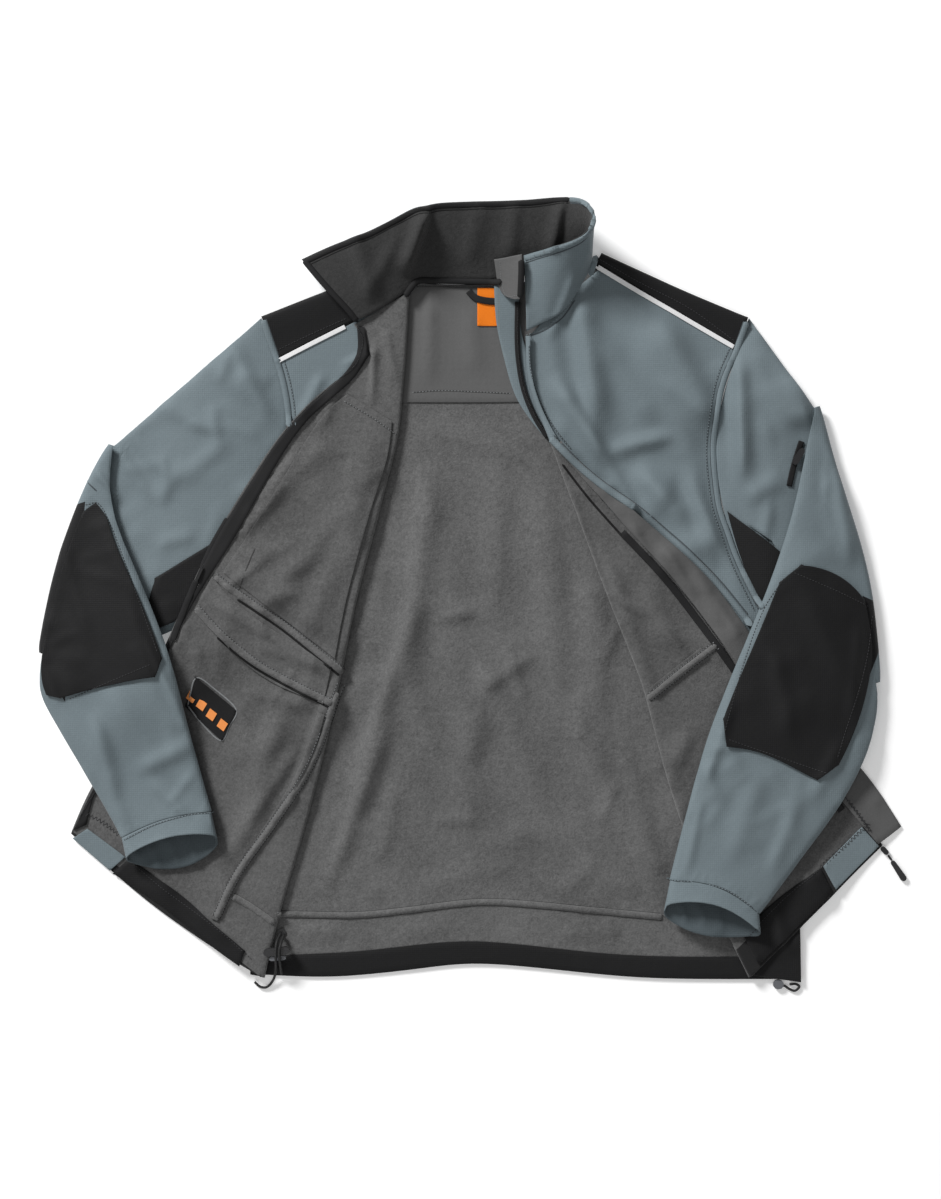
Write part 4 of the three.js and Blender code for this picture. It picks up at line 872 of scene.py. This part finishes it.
def on_top(places):
    """Each place (x, y) moved up onto the topmost cloth, with the cloth's direction there."""
    hits = [TOP.ray_cast((x, y, OVER_ALL), (0, 0, -1)) for x, y in places]
    spots = np.array([(x, y, h[0].z if h[0] else 0.0) for (x, y), h in zip(places, hits)])
    out = np.array([tuple(h[1]) if h[0] else (0, 0, 1) for h in hits])
    out[out[:, 2] < 0] *= -1
    return spots, out


def beside(line, aside):
    """A line moved sideways by `aside` metres, to its left as it runs."""
    step = unit(np.gradient(line, axis=0))
    return line + np.stack([-step[:, 1], step[:, 0]], 1) * aside


def bridged(places, reach=2.6):
    """As on_top, but at the height of the highest cloth within `reach` mm to either side, so a
    strip laid on a seam bridges the gap between two panels."""
    sides = [on_top(beside(places, a * reach * MM))[0][:, 2] for a in (-1, -0.5, 0, 0.5, 1)]
    spots = np.column_stack([places, np.max(sides, axis=0)])
    heights = np.convolve(np.pad(spots[:, 2], 3, mode="edge"), np.ones(7) / 7, mode="valid")
    spots[:, 2] = np.maximum(spots[:, 2] - SINK, heights - SINK / 3)
    return spots, np.tile((0.0, 0.0, 1.0), (len(spots), 1))


def seam(*pixels, aside=0.0):
    """Places along a smooth line through picture places."""
    line = smooth(at(*pixels), max(6, int(length_of(at(*pixels)) / SEAM_STEP)))
    return beside(line, aside * MM) if aside else line


def seams(*rows):
    """Seams of named lines: each row is a line and how far beside it, in mm, each seam lies."""
    return [seam(*line, aside=aside) for line, *sides in rows for aside in sides or (0,)]


def put_together(name, points, quads, fabric):
    """One piece of the jacket from points and faces, in its fabric."""
    mesh = bpy.data.meshes.new(name)
    mesh.from_pydata(points.reshape(-1, 3).tolist(), [], quads.tolist())
    mesh.materials.append(fabric)
    mesh.shade_smooth()
    made = placed(name, mesh)
    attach(made, "jacket")
    return made
    return made


def run_along(line, out, half_wide, half_high, sides):
    """Flattened tube on a line, half_wide across the cloth's direction `out` and half_high
    along it; its ends draw in to a point."""
    across = unit(np.cross(out, unit(np.gradient(line, axis=0))))
    size = np.ones(len(line))
    size[[0, -1]] = TIP
    return ring_points(line, across * half_wide, out * half_high, size, sides)


def laid(line):
    """Places with the cloth's directions; a line that is bridged has them already."""
    return line if isinstance(line, tuple) else on_top(line)


def runs(name, lines, half_wide, half_high, fabric, sides=8):
    """One piece of several runs, each a list of places on the table that follows the cloth."""
    points, quads, before = [], [], 0
    for spots, out in map(laid, lines):
        points.append(run_along(spots, out, half_wide, half_high, sides))
        quads.append(ring_grid(len(spots), sides) + before)
        before += len(points[-1])
    put_together(name, np.vstack(points), np.vstack(quads), fabric)


def stitched(name, lines, thread, pitch=3.3, long=2.3, thick=0.42):
    """Stitches along lines of places: grain number n lies from n x pitch on, `long` mm. Its
    point at u along and angle a is out by thick x sin(pi u)^0.5, so both ends dive in."""
    rows = []
    for spots, out in map(laid, lines):
        far = along_line(spots)
        first = np.arange(0, max(far[-1] - long * MM, 0), pitch * MM)
        rows.append([read_off(want, far, v) for want, v in (
            (first, spots), (first + long * MM, spots), (first, out))])
    a, b, out = (np.vstack([row[k] for row in rows]) for k in range(3))
    out = unit(out)
    across = unit(np.cross(out, b - a))
    u = np.linspace(0, 1, 5)
    size = np.sin(np.pi * np.clip(u, 0.02, 0.98)) ** 0.5 * thick * MM
    turn = (np.arange(6) * math.pi / 3)[:, None]
    middle = a[:, None] + (b - a)[:, None] * u[:, None] + out[:, None] * (size * 0.45)[:, None]
    ring = across[:, None] * np.cos(turn) + out[:, None] * np.sin(turn)
    points = middle[:, :, None] + ring[:, None] * size[:, None, None]
    put_together(name, points, ring_grid(5, 6, len(a)), thread)


print("cloth faces to lay seams on:", len(faces))

# %% Ditches
# painted shade: darker copies of the fleece, shell and black cloth, laid where seam ditches, pocket gaps and
# the zip's edge are shaded
SHADE_FLEECE = napped("fleece_seam_painted_shade", tone(64), tone(40))
SHADE_SHELL = woven("shell_seam_painted_shade", tone(78, 86, 90), tone(56, 62, 66))
SHADE_BLACK = woven("black_painted_shade", tone(20), tone(12))

HEM_LINE = ((277, 913), (355, 914), (408, 909), (480, 901), (550, 905), (620, 912), (664, 916))
FOLD_HEM = ((233, 894), (250, 904), (262, 912), (276, 922))
NECK_LINE = ((412, 392), (440, 390), (470, 391), (512, 393))
UPPER_WELT = ((213, 579), (238, 598), (279, 626), (310, 650), (341, 675))
LOWER_WELT = ((194, 610), (218, 636), (250, 663), (282, 682), (332, 707))
CHEST_TOP = ((344, 401), (371, 417), (398, 436))
CHEST_SIDE = ((256, 548), (250, 562), (244, 578), (238, 594))
SIDE_LINE = ((341, 684), (311, 764), (274, 822), (238, 873), (216, 918))
RIGHT_ARMHOLE = ((263, 319), (270, 340), (277, 361), (283, 383), (287, 405), (289, 427))
LEFT_ARMHOLE = ((747, 321), (737, 350), (726, 375), (719, 400), (715, 430), (714, 455), (716, 480),
                (720, 508), (728, 532), (739, 562), (762, 609))
LEFT_WELT = ((714, 642), (680, 668), (645, 696))
RIGHT_CUFF = ((124, 840), (156, 824), (190, 814), (214, 812))
LEFT_CUFF = ((667, 879), (698, 881), (722, 887), (742, 899), (758, 913))
COLLAR_SEAM = ((527, 337), (545, 330), (562, 318), (575, 300))
TURNED_EDGE = ((550, 438), (573, 461), (600, 484), (637, 510), (668, 536), (690, 556), (718, 584), (746, 618))
ELBOW_TOP = ((85, 480), (98, 492))
COLLAR_END = ((590, 276), (593, 266), (597, 254))
LEFT_EDGE = ((529, 345), (531, 372), (540, 402), (556, 430), (572, 450))

for name, lines, half_wide, half_high, fabric in (
    # the bands take the back's lighter fleece; on the fronts' welts and side seam that lighter tone is a
    # painted highlight on the raised strips
    ("fleece_bands", seams(
        (HEM_LINE, -2.2), (FOLD_HEM, -2.2), (UPPER_WELT, 3.2), (LOWER_WELT, 3.2), (SIDE_LINE,), (LEFT_WELT, 4)),
     0.0034, 0.0026, FLEECE),
    ("turned_edge", [bridged(seam(*TURNED_EDGE, (750, 626)))], 0.0038, 0.0019, SHELL),
    ("zip_shadow", [seam((562, 464), (585, 494), (604, 516), (622, 536))], 0.0013, 0.0004, SHADE_BLACK),
    ("zip_edge", [seam((229, 518), (212, 548), (196, 583), (184, 612), (173, 641))], 0.0034, 0.0008, TAPE),
    # painted shadow under the gaping pocket welts
    ("pocket_gap_shade", seams((UPPER_WELT[1:], -1.4), (LOWER_WELT[1:], -1.4)), 0.0013, 0.0004, SHADE_BLACK),
    # painted shade along the fleece seams
    ("fleece_seams", seams(
        (HEM_LINE, 0.9, -5.4), (FOLD_HEM, 0.9), (UPPER_WELT, 7), (LOWER_WELT, 7), (CHEST_TOP,),
        (SIDE_LINE, 3.8, -3.8), (LEFT_WELT, 0, 8), (NECK_LINE,), (CHEST_SIDE,)),
     0.0008, 0.0002, SHADE_FLEECE),
    ("armhole_ribbons", [bridged(line) for line in seams(
        (RIGHT_ARMHOLE,), (LEFT_ARMHOLE,), (COLLAR_END,))], 0.0032, 0.0013, SHELL),
    # painted shade along the shell seams
    ("shell_seams", seams(
        (RIGHT_ARMHOLE, 2.8), (LEFT_ARMHOLE, -2.8), (RIGHT_ARMHOLE[2:], 7), (LEFT_ARMHOLE[1:], -7),
        (RIGHT_CUFF,), (LEFT_CUFF,), (COLLAR_SEAM,), (LEFT_EDGE,), (ELBOW_TOP,), (TURNED_EDGE, 4.4)),
     0.0008, 0.00025, SHADE_SHELL),
    ("neck_tape", [
        bridged(seam((405, 297), (411, 288), (419, 281), (440, 280.5), (466, 281), (502, 282)), 5),
        bridged(seam((521, 262), (521, 276), (520, 300)), 3),
        bridged(seam((304, 260), (317, 276), (331, 292), (345, 307), (358, 322)), 3)], 0.0032, 0.0016, TAPE),
):
    runs(name, lines, half_wide, half_high, fabric)

# %% Stitches
stitched("fleece_stitches", seams(
    (HEM_LINE, 0, -4.5), (FOLD_HEM, 0, -4.5), (UPPER_WELT, 1.4, 7), (LOWER_WELT, 1.4, 7), (CHEST_TOP,),
    (SIDE_LINE, 3.6, -3.6), (LEFT_WELT, 0, 8), (NECK_LINE,)), THREAD_GREY)
stitched("shell_stitches", seams(
    (RIGHT_ARMHOLE[2:], 7), (LEFT_ARMHOLE[1:], -7), (RIGHT_CUFF,), (LEFT_CUFF,), (LEFT_EDGE,),
    (COLLAR_SEAM, 2.5)), THREAD_BLUE)
stitched("black_stitches", [seam(*line) for line in (
    ((86, 505), (103, 508), (130, 570), (160, 652)), ((153, 664), (110, 682), (70, 699)),
    ((792, 573), (830, 589), (869, 607)), ((872, 616), (866, 655), (855, 695), (835, 757)),
    ((824, 772), (780, 757), (725, 738)), ((723, 730), (740, 670), (761, 612), (782, 578)),
    ((276, 350), (310, 334), (346, 318)), ((600, 259), (640, 282), (690, 308), (736, 341)),
    ((130, 863), (172, 897), (217, 929), (252, 960)), ((818, 871), (780, 903), (748, 936)),
)], THREAD_DARK)


def zigzag(line, wide=2.2):
    """The places of a line, by turns to its left and right: an overlocked edge."""
    sides = np.where(np.arange(len(line)) % 2, wide, -wide)[:, None] * MM
    corners = beside(line, sides)
    fine = np.linspace(0, len(line) - 1, len(line) * 3)
    return read_off(fine, np.arange(len(line)), corners)


runs("overlock", [zigzag(seam(*line)) for line in (
    ((820, 868), (846, 846), (870, 824)), ((848, 800), (860, 816), (871, 832)),
    ((85, 815), (100, 822), (118, 836)),
)], 0.0004, 0.0004, THREAD_DARK, 6)
print("stitches made")

# %% [markdown]
# ## Collar edge
# The collar's two cloths meet in a rolled, topstitched edge. The collar's own curve is a
# smooth line through its stations, from the wearer's right front round to the left: its foot
# on the neck seam and its top.

# %% Collar
COLLAR = np.array([
    ((-118, 280, 13), (-172, 343, 13)), ((-100, 288, 13), (-140, 357, 19)), ((-80, 301, 12), (-110, 367, 26)),
    ((-64, 312, 11), (-80, 381, 32)), ((-50, 324, 8), (-58, 393, 31)), ((-36, 324, 6), (-44, 396, 27)),
    ((-22, 324, 6), (-29, 400, 22)), ((22, 324, 6), (30, 402, 18)), ((55, 327, 6), (60, 403, 20)),
    ((84, 333, 7), (92, 405, 26)), ((104, 341, 9), (112, 399, 50)), ((119, 346, 12), (123, 385, 66)),
    ((123, 340, 14), (121, 370, 70)), ((114, 321, 14), (110, 359, 66)), ((95, 290, 14), (85, 352, 48)),
    ((74, 279, 14), (68, 349, 32)), ((57, 270, 14), (55, 346, 22)),
], float)


def collar_line(share, first=0.0, last=1.0):
    """Line on the table under the collar's at `share` of its width, foot + (top - foot) share,
    as 160 of its 400 places from the shares `first` to `last` of its length."""
    foot, top = (smooth(COLLAR[:, k], 400) for k in (0, 1))
    line = (foot + (top - foot) * share + PART_OFFSET) * MM
    return line[np.linspace(first * 399, last * 399, 160).astype(int), :2]


# beside each roll lies a thin run of painted shade for its ditch
for name, first, last, fabric, shade in (("collar_roll_black", 0.0, 0.66, BLACK_SHELL, SHADE_BLACK),
                                         ("collar_roll_shell", 0.66, 1.0, SHELL, SHADE_SHELL)):
    runs(name, [collar_line(0.95, first, last)], 0.0026, 0.0011, fabric, 10)
    runs(name + "_painted_shade", [collar_line(0.895, first, last)], 0.0007, 0.0003, shade)
print("collar rolled,", round(length_of(collar_line(0.95)), 3), "m round its top")

# %% [markdown]
# ## Small trims of the inside
# The black patch is a heat-sealed square with a raised, paler rim and four small orange
# squares. The chin guard is stitched round.

# %% Patch and chin guard
runs("patch_rim", [seam((187, 706), (190, 694), (197, 678), (215, 690), (236, 710), (229, 726), (221, 741),
                        (204, 727), (187, 706))], 0.0008, 0.0007, THREAD_GREY)
base = []
for px, py in ((191, 697), (201, 705), (211, 715), (222, 725)):
    square = on_top(at(*[(px + 4.5 * (a * 0.77 - b * 0.5), py + 4.5 * (a * 0.6 + b * 0.85))
                         for a, b in ((-1, -1), (-1, 1), (1, 1), (1, -1))]))[0]
    square[:, 2] = np.sort(square[:, 2])[1] + 0.0006
    base.append(square)
boxes = np.concatenate([np.array(base) - (0, 0, 0.0001), np.array(base) + (0, 0, 0.0005)], 1)
box = np.array([(0, 1, 5, 4), (1, 2, 6, 5), (2, 3, 7, 6), (3, 0, 4, 7), (4, 5, 6, 7), (3, 2, 1, 0)])
put_together("patch_squares", boxes, repeated(box, 4, 8), PALE_ORANGE).data.shade_flat()
stitched("chin_guard_stitches", [seam((500, 262), (501, 280), (506, 296), (518, 297))], THREAD_GREY,
         2.4, 1.6, 0.3)
print("patch and chin guard done")

# %% [markdown]
# ## What was cut
# Each panel is a sheet of cloth.

# %% Cloth sheets
print("each panel is a sheet of cloth")

# %% [markdown]
# ## Hard pieces
# Sliders, pull, cord lock and stop keep the frame's shapes and get plastic.

# %% Hardware
for plastic, nodes in (
    (PLASTIC, "zip_slider pull_link arm_pocket_slider cord_eyelet cord_lock"),
    (RUBBER, "pull_tab"),
    (GREY_PLASTIC, "cord_lock_grip cord_stop"),
):
    for node in nodes.split():
        NODES[node].data.materials.clear()
        NODES[node].data.materials.append(plastic)
for tube in cords:
    tube.data.materials.append(CORD_CLOTH)

# %% [markdown]
# ## Zips
# The zip's teeth are small blocks at an even pitch on the edge of the tape. They follow the
# tape's edge on the turned fronts.


# %% Teeth
def teeth(name, lines, pitch=1.5, long=1.5, wide=0.8, high=0.7):
    """Rounded blocks, one every `pitch` mm: each is a ring of eight places round a stretched
    circle, drawn five times from just under the cloth to `high` mm above it."""
    rows = []
    for spots, out in map(on_top, lines):
        far = along_line(spots)
        want = np.arange(0, far[-1], pitch * MM)
        rows.append([read_off(want, far, v) for v in (spots, out, unit(np.gradient(spots, axis=0)))])
    spots, out, step = (np.vstack([row[k] for row in rows])[:, None] for k in range(3))
    across = np.cross(out, step)
    turn = ((np.arange(8) + 0.5) * math.pi / 4)[:, None]
    rings = [spots + out * up * high * MM + across * np.cos(turn) * long * size / 2 * MM
             + step * np.sin(turn) * wide * size / 2 * MM
             for size, up in ((0.05, -0.2), (1, -0.2), (1, 0.5), (0.75, 1), (0.05, 1))]
    put_together(name, np.stack(rings, 1), ring_grid(5, 8, len(spots)), PLASTIC)


teeth("right_zip_teeth", [
    seam((358, 328), (363, 342), (355, 366), (330, 386), (286, 430), (248, 487), (216, 540), (193, 590),
         (172, 634)),
    seam((94, 793), (82, 812), (71, 832)),
])
teeth("left_zip_teeth", [
    seam((650, 556), (666, 574), (690, 601), (714, 633), (733, 662)),
    seam((518, 306), (518, 345), (523, 385), (535, 415), (547, 434)),
    seam((846, 798), (858, 814), (872, 832)),
])
print("teeth made")
